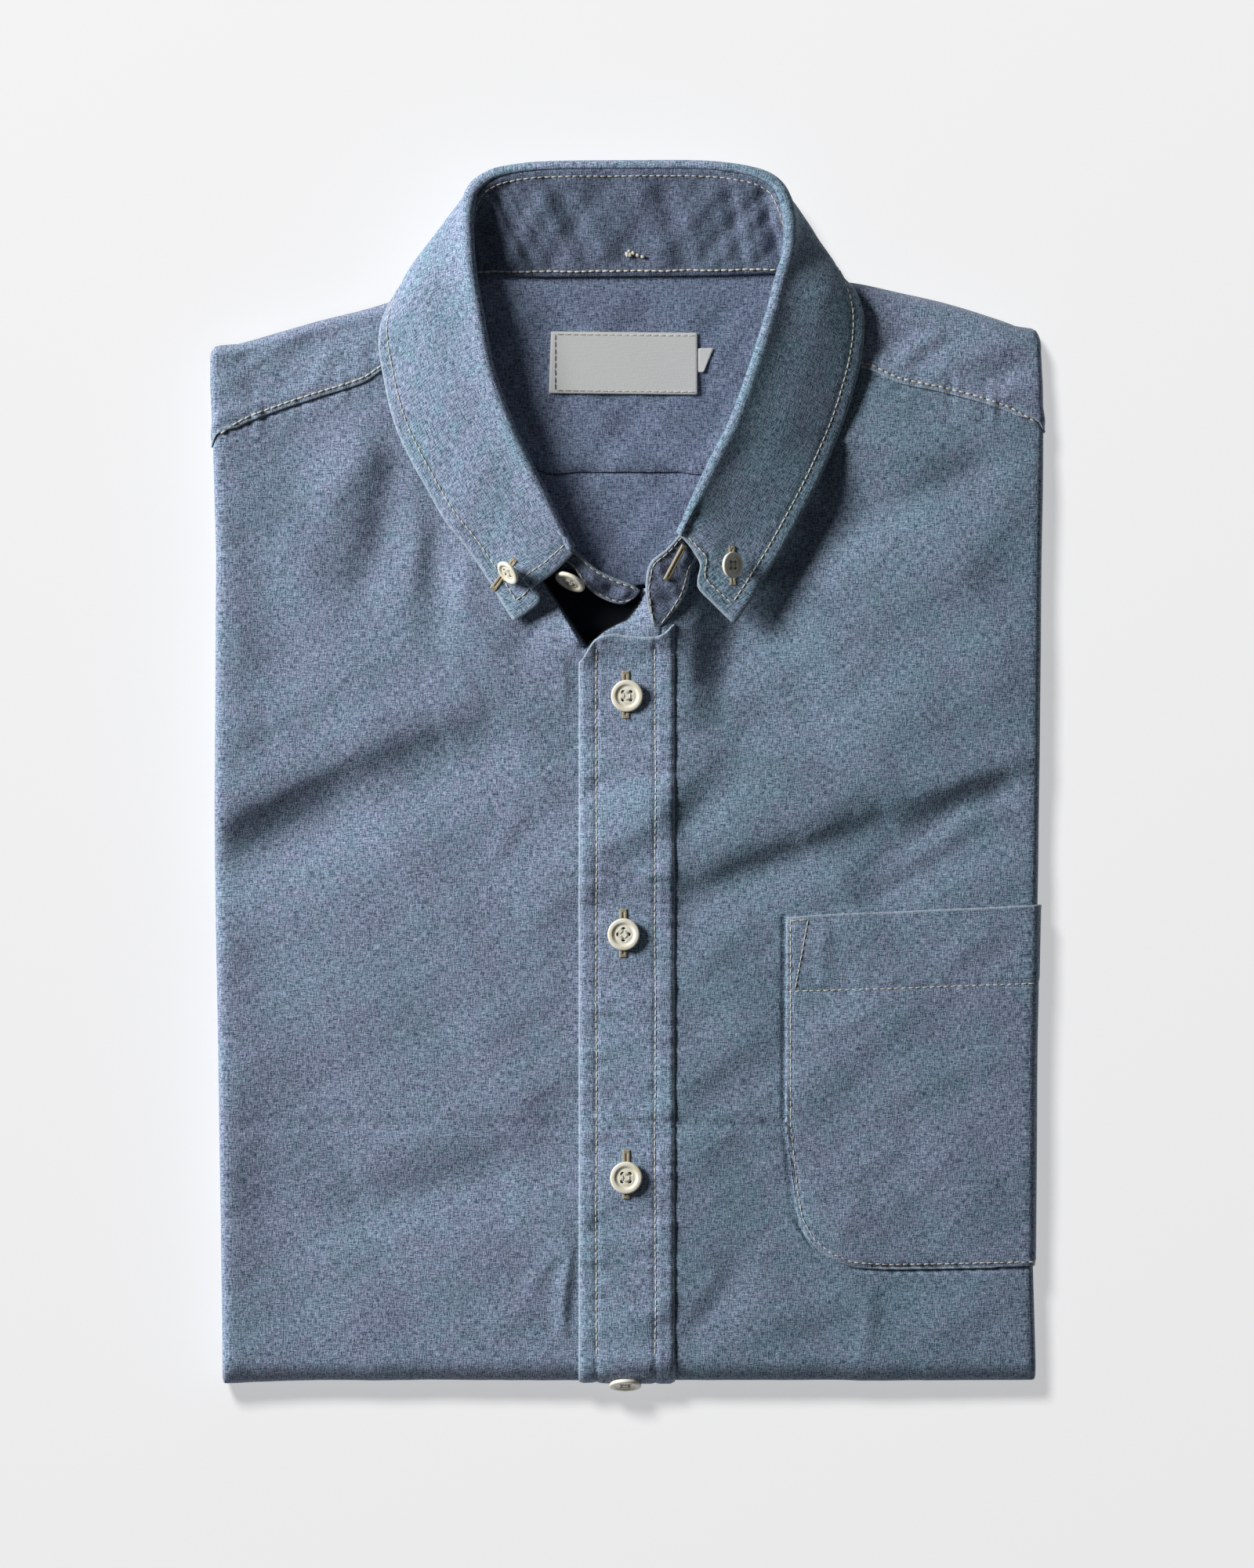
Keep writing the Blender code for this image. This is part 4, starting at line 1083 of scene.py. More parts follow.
def tape_material(colour):
    """Woven tape: fine ribs across, a soft mottle, and paler rubbed edges."""
    material, tree, shader = base_material("woven_tape", 0.85)
    cloth = node(tree, "ShaderNodeUVMap", uv_map="cloth").outputs[0]
    ribs = stretched_noise(tree, cloth, (250, 3200, 1), 2.0)
    cross = stretched_noise(tree, cloth, (3200, 500, 1), 2.0)
    slow = stretched_noise(tree, cloth, (70, 90, 1), 3.0)
    slow = maths(tree, "MULTIPLY", maths(tree, "SUBTRACT", slow, 0.5), 0.3)
    share = maths(tree, "MULTIPLY_ADD", maths(tree, "ADD", ribs, cross), 0.5, slow, clamp=True)
    dark = opaque(shaded(colour, 0.86))
    tree.links.new(mix_colour(tree, share, dark, opaque(colour)), shader.inputs["Base Color"])
    height = maths(tree, "ADD", ribs, maths(tree, "MULTIPLY", cross, 0.6))
    relief(tree, shader, height, 0.5, 0.0002)
    return material


def outside_cloth():
    """The cloth's faded outer face."""
    colours = bpy.context.scene.shirt_colours
    return chambray_material("outer_weave", colours.warp, colours.weft, colours.worn)


def inside_cloth():
    """The cloth's inner face, which is bluer."""
    colours = bpy.context.scene.shirt_colours
    return chambray_material("inner_weave", colours.warp_inside, colours.weft_inside, colours.worn, 0.35)


def stand_cloth_painted_shade():
    """The stand's inner face: the inner cloth's colours at 0.54, painted shade for a face that turns away from the
    light.
    """
    colours = bpy.context.scene.shirt_colours
    # Painted shade: both yarns darkened to 0.54.
    warp, weft = shaded(colours.warp_inside, 0.54), shaded(colours.weft_inside, 0.54)
    return chambray_material("stand_weave_painted_shade", warp, weft, colours.worn, 0.45)


def band_cloth(name, fade, teal):
    """The leaf and the placket, stiffened inside, are paler than the fronts: the placket more faded, the leaf partly
    faded and partly painted light for its lit side.
    """
    colours = bpy.context.scene.shirt_colours
    return chambray_material(name, shaded(colours.warp, fade), shaded(colours.weft, fade), colours.worn, teal)


def sewing_thread():
    colour = bpy.context.scene.shirt_colours.thread
    return thread_material("sewing_thread", colour, shaded(colour, 0.7))


def hole_thread():
    colour = bpy.context.scene.shirt_colours.hole_thread
    return thread_material("hole_thread", colour, shaded(colour, 0.55))


# ---------------------------------------------------------------- the collar


def unit_frame(heading, lean):
    """The stand's upward direction and its outward face's direction, for arrays of angles in degrees."""
    turn, tilt = np.radians(heading), np.radians(lean)
    away = np.stack([np.cos(turn), np.sin(turn), 0 * turn], axis=-1)
    up = np.array([0.0, 0.0, 1.0])
    tilt = tilt[..., None]
    return np.sin(tilt) * away + np.cos(tilt) * up, np.cos(tilt) * away - np.sin(tilt) * up


def leaf_surface(stations, across):
    """The leaf's middle surface: at each station half a turn round the roll, then a straight-sided curve to the edge.
    Near its two fronts it is drawn to the front edges' own tables."""
    table = through(np.arange(len(COLLAR)), COLLAR, stations)
    centre, middle, edge = table[:, :3], table[:, 5:8].copy(), table[:, 8:11]
    middle[:, 2] -= 1.8 * smoothstep((178 - centre[:, 1]) / 25)
    up, face = unit_frame(table[:, 3], table[:, 4])
    angles = np.linspace(0, math.pi, across[0])[:, None, None]
    roll = centre + ROLL_RADIUS * (up * np.sin(angles) - face * np.cos(angles))
    start = roll[-1]
    slope = (edge - start) * 0.5
    reach = np.linalg.norm(middle - start, axis=1, keepdims=True)
    upper, lower = (np.linspace(0, 1, rows + 1)[1:, None, None] for rows in across[1:])
    first = cubic(start, middle, -up * reach, slope, upper)
    second = cubic(middle, edge, slope, edge - middle, lower)
    points = np.concatenate([roll, first, second]).transpose(1, 0, 2)
    flat_part = points[:, across[0] - 1 :]
    share = walked(flat_part, 1)
    share /= share[:, -1:]
    along = walked(centre)
    for table_front, end, distance in ((LEAF_FRONT_RIGHT, 0, along), (LEAF_FRONT_LEFT, -1, along[-1] - along)):
        wanted = through(table_front[:, 0], table_front[:, 1:], share[end])
        pull = wanted - flat_part[end]
        fade = np.exp(-((distance / 9.0) ** 2))[:, None, None]
        flat_part += pull[None] * fade
    return points


def stand_surface(across):
    """The stand's middle surface, from its neck edge up to just under the leaf, with both ends past the leaf."""
    stations = np.linspace(0, len(COLLAR) - 1, STAND_STATIONS)
    table = through(np.arange(len(COLLAR)), COLLAR, stations)
    up, face = unit_frame(table[:, 3], table[:, 4])
    neck = table[:, 11:14]
    top = table[:, :3] - ROLL_RADIUS * face - 0.8 * up
    reach = np.linalg.norm(top - neck, axis=1, keepdims=True)
    u = np.linspace(0, 1, across)
    middle = cubic(neck, top, top - neck, up * reach, u[:, None, None]).transpose(1, 0, 2)
    ends = []
    for rows, join in ((STAND_END_RIGHT, middle[0]), (STAND_END_LEFT, middle[-1])):
        tops = np.concatenate([join[None, -1], rows[:, :3]])
        necks = np.concatenate([join[None, 0], rows[:, 3:]])
        at = np.linspace(0, len(rows), STAND_END_ROWS + 1)[1:]
        tops, necks = (through(np.arange(len(rows) + 1), table, at) for table in (tops, necks))
        straight = necks[:, None] + (tops - necks)[:, None] * u[None, :, None]
        bend = join - (join[0] + (join[-1] - join[0]) * u[:, None])
        ends.append(straight + bend[None] * np.exp(-at / 1.2)[:, None, None])
    return np.concatenate([ends[0][::-1], middle, ends[1]])


def cloth_lengths(points):
    """Flat coordinates of a grid: the mean length along its columns, and the length along each of its rows."""
    along = np.linalg.norm(np.diff(points, axis=0), axis=-1).mean(axis=1)
    u = np.concatenate([[0], np.cumsum(along)])[:, None] + np.zeros(points.shape[:2])
    return np.stack([u, walked(points, 1)], axis=-1)


def from_grid(points, rows, columns):
    """Points of a grid at fractional rows and columns, by straight lines between neighbours."""
    rows = np.clip(rows, 0, points.shape[0] - 1.001)
    columns = np.clip(columns, 0, points.shape[1] - 1.001)
    i, j = rows.astype(int), columns.astype(int)
    a, b = (rows - i)[..., None], (columns - j)[..., None]
    lower = points[i, j] * (1 - b) + points[i, j + 1] * b
    upper = points[i + 1, j] * (1 - b) + points[i + 1, j + 1] * b
    return lower * (1 - a) + upper * a


def wrinkled(points, height):
    """The grid moved along its normals."""
    return points + grid_normals(points) * height[..., None]


def leaf_grid():
    """The leaf's grid with its slow waves, the puckers beside its topstitching and the groove under that, its flat
    coordinates and its distance from the sewn edges."""
    points = leaf_surface(LEAF_STATIONS, LEAF_ACROSS)
    cloth = cloth_lengths(points)
    along, across = cloth[..., 0], cloth[..., 1]
    near = edge_distance(points, "ftr")
    soft = ripple(along * 0.9 + across * 0.5, ((38.0, 0.16), (23.0, 0.10), (9.0, 0.03)), 31)
    soft += 0.26 * seam_pucker(along, near - LEAF_STITCH, 3.5, 33)
    soft *= smoothstep((across - 6.5) / 6)
    groove = -0.28 * np.exp(-(((near - LEAF_STITCH) / 0.9) ** 2))
    return wrinkled(points, -(soft + groove)), cloth, near


def stand_grid():
    """The stand's grid with its soft wrinkles, which die out at both of its seams, and its flat coordinates."""
    points = stand_surface(STAND_ACROSS)
    cloth = cloth_lengths(points)
    along, across = cloth[..., 0], cloth[..., 1]
    soft = ripple(along * 0.95 + across * 0.35, ((17.0, 0.42), (11.0, 0.36), (6.3, 0.22), (4.1, 0.10)), 41)
    soft += ripple(along * 0.8 - across * 0.6, ((22.0, 0.4), (9.0, 0.26)), 43)
    inner = smoothstep(across / 4) * smoothstep((cloth[:, -1:, 1] - across) / 4)
    return wrinkled(points, soft * inner), cloth


# ---------------------------------------------------------------- stitches


def stitch_parts(path, normals, thread, pitch, gap=0.22, lift=0.16, seed=0, width=1.0):
    """A run of stitches along a path of points. Each is a six-sided tube of five rings, thin and sunk at both ends,
    with a slight change of length and direction from one to the next."""
    along = walked(path)
    count = max(1, int(along[-1] / pitch))
    pitch = along[-1] / count
    random = np.random.default_rng(seed)
    starts = np.arange(count) * pitch + gap / 2 + random.uniform(-0.08, 0.08, count)
    lengths = pitch - gap + random.uniform(-0.12, 0.12, count)
    rings = np.array([0.0, 0.14, 0.5, 0.86, 1.0])
    at = starts[:, None] + lengths[:, None] * rings
    centre = np.stack([np.interp(at, along, path[:, axis]) for axis in range(3)], axis=-1)
    up = unit(np.stack([np.interp(at, along, normals[:, axis]) for axis in range(3)], axis=-1))
    side = unit(np.cross(unit(centre[:, -1:] - centre[:, :1]), up))
    slant = random.uniform(-0.07, 0.07, (count, 1, 1)) * (rings[None, :, None] - 0.5) * 2
    radius = thread / 2 * np.array([0.35, 0.85, 1.0, 0.85, 0.35])
    height = lift * np.array([-1.0, 0.5, 1.0, 0.5, -1.0])
    centre = centre + up * (height[None, :, None]) + side * slant
    turns = np.arange(STITCH_SIDES) * 2 * math.pi / STITCH_SIDES
    ring = side[:, :, None] * np.cos(turns)[None, None, :, None] * width
    ring = ring + up[:, :, None] * np.sin(turns)[None, None, :, None] * 0.8
    points = centre[:, :, None] + ring * radius[None, :, None, None]
    one = grid_faces(len(rings), STITCH_SIDES, 0, True)
    caps = np.array([(0, 5, 4, 3), (0, 3, 2, 1), (24, 25, 26, 27), (24, 27, 28, 29)])
    one = np.concatenate([one[:, ::-1], caps[:, ::-1]])
    faces = one[None] + (np.arange(count) * len(rings) * STITCH_SIDES)[:, None, None]
    return points.reshape(-1, 3), faces.reshape(-1, 4)


def top_path(xs, ys, out):
    """Points and normals on the top face, moved out, along a line given by x and y."""
    along = walked(np.stack([xs, ys], axis=-1))
    at = np.linspace(0, along[-1], max(3, int(along[-1] / 0.8)))
    x, y = np.interp(at, along, xs), np.interp(at, along, ys)
    z = top_height(x, y)
    slope_x = top_height(x + 0.5, y) - top_height(x - 0.5, y)
    slope_y = top_height(x, y + 0.5) - top_height(x, y - 0.5)
    return np.stack([x, y, z + out], axis=-1), unit(np.stack([-slope_x, -slope_y, np.ones_like(z)], axis=-1))


def raised_path(xs, ys, raise_by):
    """Points and normals on a piece that stands over the top face by a function of x and y."""
    path, normals = top_path(xs, ys, 0.0)
    path[:, 2] += raise_by(path[:, 0], path[:, 1])
    return path, normals


def columns_from_edge(grid, distance):
    """For each row of a grid the column, counted from the first, that lies at a distance from its last point."""
    last = grid.shape[1] - 1
    return last - np.array([np.interp(distance, row, np.arange(last + 1)) for row in walked(grid[:, ::-1], 1)])


def grid_path(points, rows, columns, outer):
    """Points and normals on a grid's face at fractional rows and columns, moved out along the normals."""
    facing = unit(from_grid(grid_normals(points), rows, columns))
    return from_grid(points, rows, columns) + facing * outer, facing * np.sign(outer)


# ---------------------------------------------------------------- pieces


def placket_out(x, y):
    """How far the placket stands over the panel: full in the middle, lower at its edges, pressed in at the stitches,
    with small cross puckers between them."""
    rim = smoothstep((PLACKET_HALF - np.abs(x)) / 1.6)
    out = ON_TOP - 0.1 - np.where(x > 0, 0.65, 0.5) * (1 - rim)
    for stitch in (PLACKET_STITCH_LEFT, PLACKET_STITCH_RIGHT):
        out -= 0.42 * np.exp(-(((x - stitch) / 0.8) ** 2))
    cross = ripple(y + 0.12 * x, ((3.9, 0.4), (5.6, 0.45), (8.3, 0.5)), 51) * (0.8 + ripple(y, ((47.0, 0.4),), 53))
    cross += ripple(y - 0.25 * x, ((14.3, 0.8), (22.0, 0.8)), 55)
    edge = np.exp(-(((np.abs(x) - 12.5) / 5.0) ** 2))
    return out + 0.25 * cross * (0.4 + 0.6 * edge)


def build_fronts():
    """The two fronts: the skin from the bottom fold to their top edge, on either side of the lap."""
    sizes = bpy.context.scene.shirt_sizes
    step = sizes.mesh_step / MM
    places = np.unique(np.concatenate([places_between(0, FRONT_TOP, step, fold=168), CLOSER_PLACES]))
    closer = ((-29.0, 11.0), (PLACKET_HALF - 1, PLACKET_HALF + 5), (POCKET_SIDE - 4, POCKET_SIDE + 1))
    # The wearer's left front is greener and darker than the right: partly less-faded cloth, partly painted shade.
    for name, left, right, tint, less_faded_and_painted_shade in (
        ("front_right", -PAST_SIDE, LAP_X - 0.2, 0.1, 0.0),
        ("front_left", LAP_X + 0.2, PAST_SIDE, 0.6, LESS_FADED_AND_PAINTED_SHADE),
    ):
        points, cloth = folded_skin(places, columns_between(left, right, step, closer=closer))
        # Painted shade: the cloth in the hollow over the placket's top is darkened nearly to black, for the shade that
        # falls in it.
        sunk = smoothstep((-1.5 - neck_hollow(points[..., 0], points[..., 1])) / 5.0)
        painted_shade_and_unfaded = np.maximum(sunk * (places > 1)[:, None], less_faded_and_painted_shade)
        add_cloth(
            f"{name}_cloth", name, points, cloth, sizes.cloth / MM, outside_cloth(),
            edges="", tint=tint, painted_shade_and_unfaded=painted_shade_and_unfaded,
        )  # fmt: skip


def build_placket():
    """The placket: the skin moved out by the placket's own profile, with columns closer at both of its edges."""
    from_edge = np.array([0, 0.3, 0.8, 1.4])
    xs = np.concatenate([from_edge - PLACKET_HALF, np.arange(-14.8, 15.0, 0.8), PLACKET_HALF - from_edge[::-1]])
    places = places_between(0, PLACKET_TOP, 1.0, fold=150)
    points, cloth = folded_skin(places, (xs, 0 * xs, 0 * xs))
    out = placket_out(xs[None, :] + 0 * points[..., 0], cloth[..., 1])
    raised, _ = folded_skin(places, (xs, 0 * xs, 0 * xs), out)
    weave = band_cloth("placket_weave", 1.15, 0.7)
    add_cloth(
        "placket_cloth", "placket", raised, cloth, PLACKET_WALL, weave,
        edges="tlr", tint=0.2,
    )  # fmt: skip


def pocket_edge(x, y):
    """How far a point lies inside the pocket's side and foot, below 0 outside: both ways to the outline, joined as the
    height of the right triangle that they make."""
    side = np.interp(y, POCKET_FOOT[::-1, 1], POCKET_FOOT[::-1, 0])
    across, up = x - side, y - np.interp(x, POCKET_FOOT[:, 0], POCKET_FOOT[:, 1])
    near = np.abs(across * up) / np.maximum(np.hypot(across, up), 1e-6)
    near = np.where((y > POCKET_FOOT[0, 1]) & (x < POCKET_SIDE + 20), np.minimum(np.abs(across), np.abs(up)), near)
    return np.where((across > 0) & (up > 0), near, -near)


def pocket_out(x, y):
    """How far the pocket stands over the panel: low at its sewn edges, a little more over the turned hem."""
    top = np.interp(x, LINES[:, 0], LINES[:, POCKET_TOP])
    hem = np.interp(x, POCKET_HEM[:, 0], POCKET_HEM[:, 1])
    inside = pocket_edge(x, y)
    out = ON_TOP - 0.2 - 0.45 * (1 - smoothstep(inside / 1.8))
    out -= 0.34 * np.exp(-(((inside - 1.5) / 0.8) ** 2))
    out += 0.22 * smoothstep((y - hem) / 1.2) - 0.22 * np.exp(-(((y - hem) / 0.9) ** 2))
    out += 0.12 * np.exp(-(((top - y) / 1.0) ** 2))
    return out + 0.2 * seam_pucker(x, y - hem, 5.0, 61) + 0.24 * seam_pucker(x + y, inside - 1.0, 5.0, 63)


def build_pocket():
    """The pocket: a grid from its lower outline to its top edge, over the front and on round the side fold."""
    wall = bpy.context.scene.shirt_sizes.cloth / MM * 1.15
    near = POCKET_SIDE + np.array([0, 0.25, 0.6, 1.0, 1.5, 2.1, 2.8, 3.6, 4.4, 5.4, 6.6, 7.9, 9.3, 10.8])
    xs, sides, turns = columns_between(POCKET_SIDE + 12.0, PAST_SIDE, 1.25, wrap=118)
    xs = np.concatenate([near, xs])
    sides, turns = np.concatenate([0 * near, sides]), np.concatenate([0 * near, turns])
    share = np.sort(np.concatenate([[0, 0.003, 0.007], np.linspace(0, 1, 100)[1:], [0.997]]))[:, None]
    foot = through(POCKET_FOOT[:, 0], POCKET_FOOT[:, 1], np.minimum(xs, PROBE_X))
    top = through(LINES[:, 0], LINES[:, POCKET_TOP], np.minimum(xs, PROBE_X))
    x = np.where(sides == 0, xs, PROBE_X)[None, :] + 0 * share
    y = foot + (top - foot) * share
    out = pocket_out(x, y)
    height = top_height(x, y)
    radius = SIDE_ROUND * plain_height(PROBE_X + 0 * y, y)
    centre = edge_x(1.0, y) - radius
    wrapped = sides[None, :] + 0 * share > 0
    px = np.where(wrapped, centre + (radius + out) * side_round(turns), x)
    base = np.where(wrapped, top_height(centre, y), height)
    pz = np.where(wrapped, base - radius * (1 - np.cos(turns)) + out * np.cos(turns), height + out)
    points = np.stack([px, y, pz], axis=-1)
    cloth = np.stack([np.where(wrapped, centre + radius * turns, x), y], axis=-1)
    # The pocket takes half of that side's darkening: partly less-faded cloth, partly painted shade.
    add_cloth(
        "pocket_cloth", "pocket", points, cloth, wall, outside_cloth(),
        edges="ftl", tint=0.3, painted_shade_and_unfaded=0.5 * LESS_FADED_AND_PAINTED_SHADE,
    )  # fmt: skip


def build_shoulders():
    """The outer yoke's two ends: the skin from the fronts' top edge over the shoulder fold, thin past the seam."""
    wall = bpy.context.scene.shirt_sizes.cloth / MM
    places = places_between(FRONT_TOP, SHOULDER, 1.1, shoulder=112)
    for name, left, right in (("yoke_shoulder_right", -PAST_SIDE, -74.0), ("yoke_shoulder_left", 74.0, PAST_SIDE)):
        column = columns_between(left, right, 1.25)
        points, _ = folded_skin(places, column)
        rise = points[..., 1] - points[0][None, :, 1]
        out = 0.75 - 0.3 * np.exp(-(((rise - 1.6) / 0.8) ** 2)) - 0.7 * smoothstep((rise - 4) / 6)
        raised, cloth = folded_skin(places, column, np.maximum(out, 0.1))
        add_cloth(
            f"{name}_cloth", name, raised, cloth, wall, outside_cloth(),
            edges="f", tint=0.1,
        )  # fmt: skip


def add_inside(name, points, cloth):
    wall = bpy.context.scene.shirt_sizes.cloth / MM
    add_cloth(
        f"{name}_cloth", name, points, cloth, wall, inside_cloth(), edges=""
    )


def build_inside():
    """The inner yoke, a step over the back at their seam and tucked in under the stand, and the back's inner face."""
    points, cloth = folded_skin(places_between(BACK_SEAM, SHOULDER, 1.2), columns_between(-67.0, 68.0, 1.3))
    rise = points[..., 1] - points[0][None, :, 1]
    points[..., 2] += 1.0 - smoothstep((rise - 6) / 4)
    tuck = np.arange(2.0, 9.0, 2.0)[:, None, None]
    points = np.concatenate([points, points[-1] + np.array([0.0, 1.0, 0.04]) * tuck])
    cloth = np.concatenate([cloth, cloth[-1] + np.array([0.0, 1.0]) * tuck])
    add_inside("yoke_inner", points, cloth)
    places = places_between(FRONT_TOP + 0.04, BACK_SEAM - 0.01, 1.0)
    points, cloth = folded_skin(places, columns_between(-42.0, 43.5, 1.3))
    add_inside("back_inside", points, cloth)


def build_collar():
    """The leaf and the stand, each one wall round its own middle surface."""
    wall = bpy.context.scene.shirt_sizes.band / MM
    points, cloth, _ = leaf_grid()
    # The leaf's half on the wearer's left, which slopes away from the light, is greener and darker: painted shade,
    # partly less-faded cloth.
    left_half_painted_shade = 1.4 * smoothstep((points[:, -1:, 0] - 10) / 50)
    # The leaf's paler colours are partly painted light for its lit side.
    add_cloth(
        "collar_leaf_cloth", "collar_leaf", points, cloth, wall, band_cloth("leaf_weave_faded_and_painted_light", 1.13, 0.8),
        outer=0.5, edges="ftr", tint=0.2 + 0.4 * left_half_painted_shade, painted_shade_and_unfaded=LESS_FADED_AND_PAINTED_SHADE * left_half_painted_shade,
    )  # fmt: skip
    points, cloth = stand_grid()
    near = edge_distance(points)
    near[STAND_END_ROWS + 3 : -STAND_END_ROWS - 3] = FAR
    add_cloth(
        "collar_stand_cloth", "collar_stand", points, cloth, wall, stand_cloth_painted_shade(),
        outer=0.5, edges=near,
    )  # fmt: skip


def layer_end(x, inset):
    """y at which a hidden layer ends under the shoulder fold."""
    return through(LINES[:, 0], LINES[:, SHOULDER], np.clip(x, -SIDE_X, SIDE_X)) + 0.8 - inset * 0.2


def rounded(border, radius):
    """The share of a layer's half thickness at a distance from its border: a quarter circle of its radius."""
    return np.sqrt(np.clip(1 - np.clip(1 - border / radius, 0, 1) ** 2, 0.004, 1))


def slab(bottom, top, inset, seed, start):
    """One folded layer: two faces that round into each other at the border. Its sides follow the bundle's outline,
    set in, with a slow wave, and its corners are rounded."""
    radius = (top - bottom) / 2
    rounding = radius * (1 - np.cos(np.linspace(0, math.pi / 2, 7)))
    outline_y = start + np.linspace(0, 1, 150) * (150 - start)
    corner = CORNER - np.sqrt(np.clip(CORNER**2 - np.clip(CORNER - (outline_y - start), 0, CORNER) ** 2, 0, None))
    wave_left = ripple(outline_y, ((61.0, 0.5), (27.0, 0.25)), seed)
    wave_right = ripple(outline_y, ((57.0, 0.5), (31.0, 0.25)), seed + 1)
    left = edge_x(-1.0, outline_y) + inset + wave_left + corner
    right = edge_x(1.0, outline_y) - inset - wave_right - corner
    width = (right - left).mean()
    middle_part = radius + (width - 2 * radius) * np.linspace(0, 1, 26)[1:-1]
    across = np.concatenate([rounding, middle_part, width - rounding[::-1]]) / width
    middle_part = np.linspace(radius / LAYER_SPAN, 1 - radius / LAYER_SPAN, 136)[1:-1]
    up = np.concatenate([rounding / LAYER_SPAN, middle_part, 1 - rounding[::-1] / LAYER_SPAN])
    foot_x = left[0] + (right[0] - left[0]) * across
    ys = start + up[:, None] * (layer_end(foot_x, inset)[None, :] - start)
    left, right = np.interp(ys, outline_y, left), np.interp(ys, outline_y, right)
    xs = left + (right - left) * across[None, :]
    ys = start + up[:, None] * (layer_end(xs, inset) - start)
    depth_x = rounded(np.minimum(across, 1 - across) * width, radius)
    depth_y = rounded(np.minimum(up, 1 - up) * LAYER_LENGTH, radius)
    half = radius * depth_y[:, None] * depth_x[None, :]
    sag = ripple(ys + xs * 0.4, ((70.0, 0.22), (33.0, 0.12)), seed + 2) if bottom > 0.5 else 0 * ys
    middle = (bottom + top) / 2 + sag
    upper = np.stack([xs, ys, middle + half], axis=-1)
    upper[..., 2] = np.minimum(upper[..., 2], under_panels(upper, 2.2))
    lower = np.stack([xs, ys, np.minimum(middle - half, upper[..., 2] - 0.1)], axis=-1)
    rows, columns = xs.shape
    count = rows * columns
    faces = np.concatenate([grid_faces(rows, columns), grid_faces(rows, columns, count)[:, ::-1]])
    loop = border(np.arange(count).reshape(rows, columns))
    following = np.roll(loop, -1)
    rim = np.stack([loop, loop + count, following + count, following], axis=1)
    cloth = np.stack([xs, ys], axis=-1).reshape(-1, 2)
    return (
        np.concatenate([upper.reshape(-1, 3), lower.reshape(-1, 3)]),
        np.concatenate([faces, rim]),
        np.concatenate([cloth, cloth + np.array([0.0, 3.0])]),
    )


def under_panels(points, least):
    """The greatest height that keeps a point of the hidden layers under the panels: least below the lowest of nine
    places round it. Past the sides and over the neck's inner cloth it is left free."""
    x, y, z = points[..., 0], points[..., 1], points[..., 2]
    lowest = np.full(x.shape, 1e9)
    for dx in (-3.0, 0.0, 3.0):
        for dy in (-3.0, 0.0, 3.0):
            lowest = np.minimum(lowest, top_height(x + dx, y + dy))
    roll = np.interp(y, NECK_ROLL[:, 0], NECK_ROLL[:, 1])
    free = (np.abs(x) > 138) | (y > 150) | (y < -200) | ((np.abs(x) < roll + 3) & (y > 72))
    return np.where(free, z, lowest - least)


def build_layers():
    """The hidden back, side folds, sleeves and tail: a tray of cloth under the panels that wraps round every edge, and
    three folded layers below it."""
    places = places_between(0, SHOULDER, 3.0, fold=160, shoulder=108)
    points, cloth = folded_skin(places, columns_between(-PAST_SIDE, PAST_SIDE, 4.0), -1.4, fine=False)
    low = np.minimum(points[..., 2], under_panels(points, 1.4))
    points[..., 2] = np.where(places[:, None] > 0, low, points[..., 2])
    found, faces, source = shell_arrays(points, 0.5)
    layers = [(found, faces, cloth.reshape(-1, 2)[source])] + [slab(*row) for row in HIDDEN_LAYERS]
    points, faces = join_parts([layer[:2] for layer in layers])
    far = np.full(len(points), FAR)
    mesh = make_mesh("folded_layers", points, faces, np.concatenate([layer[2] for layer in layers]), far, 0 * far)
    piece = add_piece("folded_layers", mesh, outside_cloth(), "folded_core")


def button_arrays(diameter):
    """A four-hole button face up round the origin, as rings of points: the face is a profile over the radius, dished
    inside a rounded rim, and the holes are pits sunk with the distance from their centres."""
    radius = diameter / 2
    scale = diameter / FULL_BUTTON
    rings = np.concatenate([np.linspace(0, 0.8, 4), np.linspace(0.9, 2.9, 25), np.linspace(3.1, 4.9, 8)]) * scale
    turns = np.arange(BUTTON_SIDES) * 2 * math.pi / BUTTON_SIDES
    rim = np.linspace(-math.pi / 2.6, math.pi / 2, 9)[::-1]
    face = 0.55 * smoothstep((rings / scale - 3.3) / 1.1) - 0.12 * smoothstep((rings / scale - 2.2) / 1.2)
    profile_r = np.concatenate([rings, radius - BUTTON_RIM + BUTTON_RIM * np.cos(rim), [0.55 * radius, 0.01]])
    rim_z = -0.12 + BUTTON_RIM * np.sin(rim) * np.where(np.sin(rim) > 0, 0.85, 1.6)
    profile_z = np.concatenate([face, rim_z, [-1.35, -1.35]])
    x = profile_r[:, None] * np.cos(turns)
    y = profile_r[:, None] * np.sin(turns)
    z = profile_z[:, None] + 0 * x
    top = (np.arange(len(profile_r)) < len(rings))[:, None]
    sunk = np.zeros_like(x)
    for hx in (-1, 1):
        for hy in (-1, 1):
            away = np.hypot(x - hx * HOLE_AT * scale, y - hy * HOLE_AT * scale)
            sunk = np.maximum(sunk, 1 - smoothstep((away - 0.52 * scale) / (0.26 * scale)))
    z = z - 1.1 * sunk * top
    points = np.stack([x, y, z], axis=-1)
    rows, columns = x.shape
    # The pit mask is also returned, to paint shade in the holes.
    return points.reshape(-1, 3), grid_faces(rows, columns, 0, True), (sunk * top).ravel()


def turned(points, tilt, heading, turn):
    """Points turned by turn about Z, then tilted so that the side at heading goes down by tilt."""
    away = math.radians(heading)
    tilted = Matrix.Rotation(math.radians(tilt), 3, (-math.sin(away), math.cos(away), 0))
    return points @ np.array(tilted @ Matrix.Rotation(math.radians(turn), 3, "Z")).T


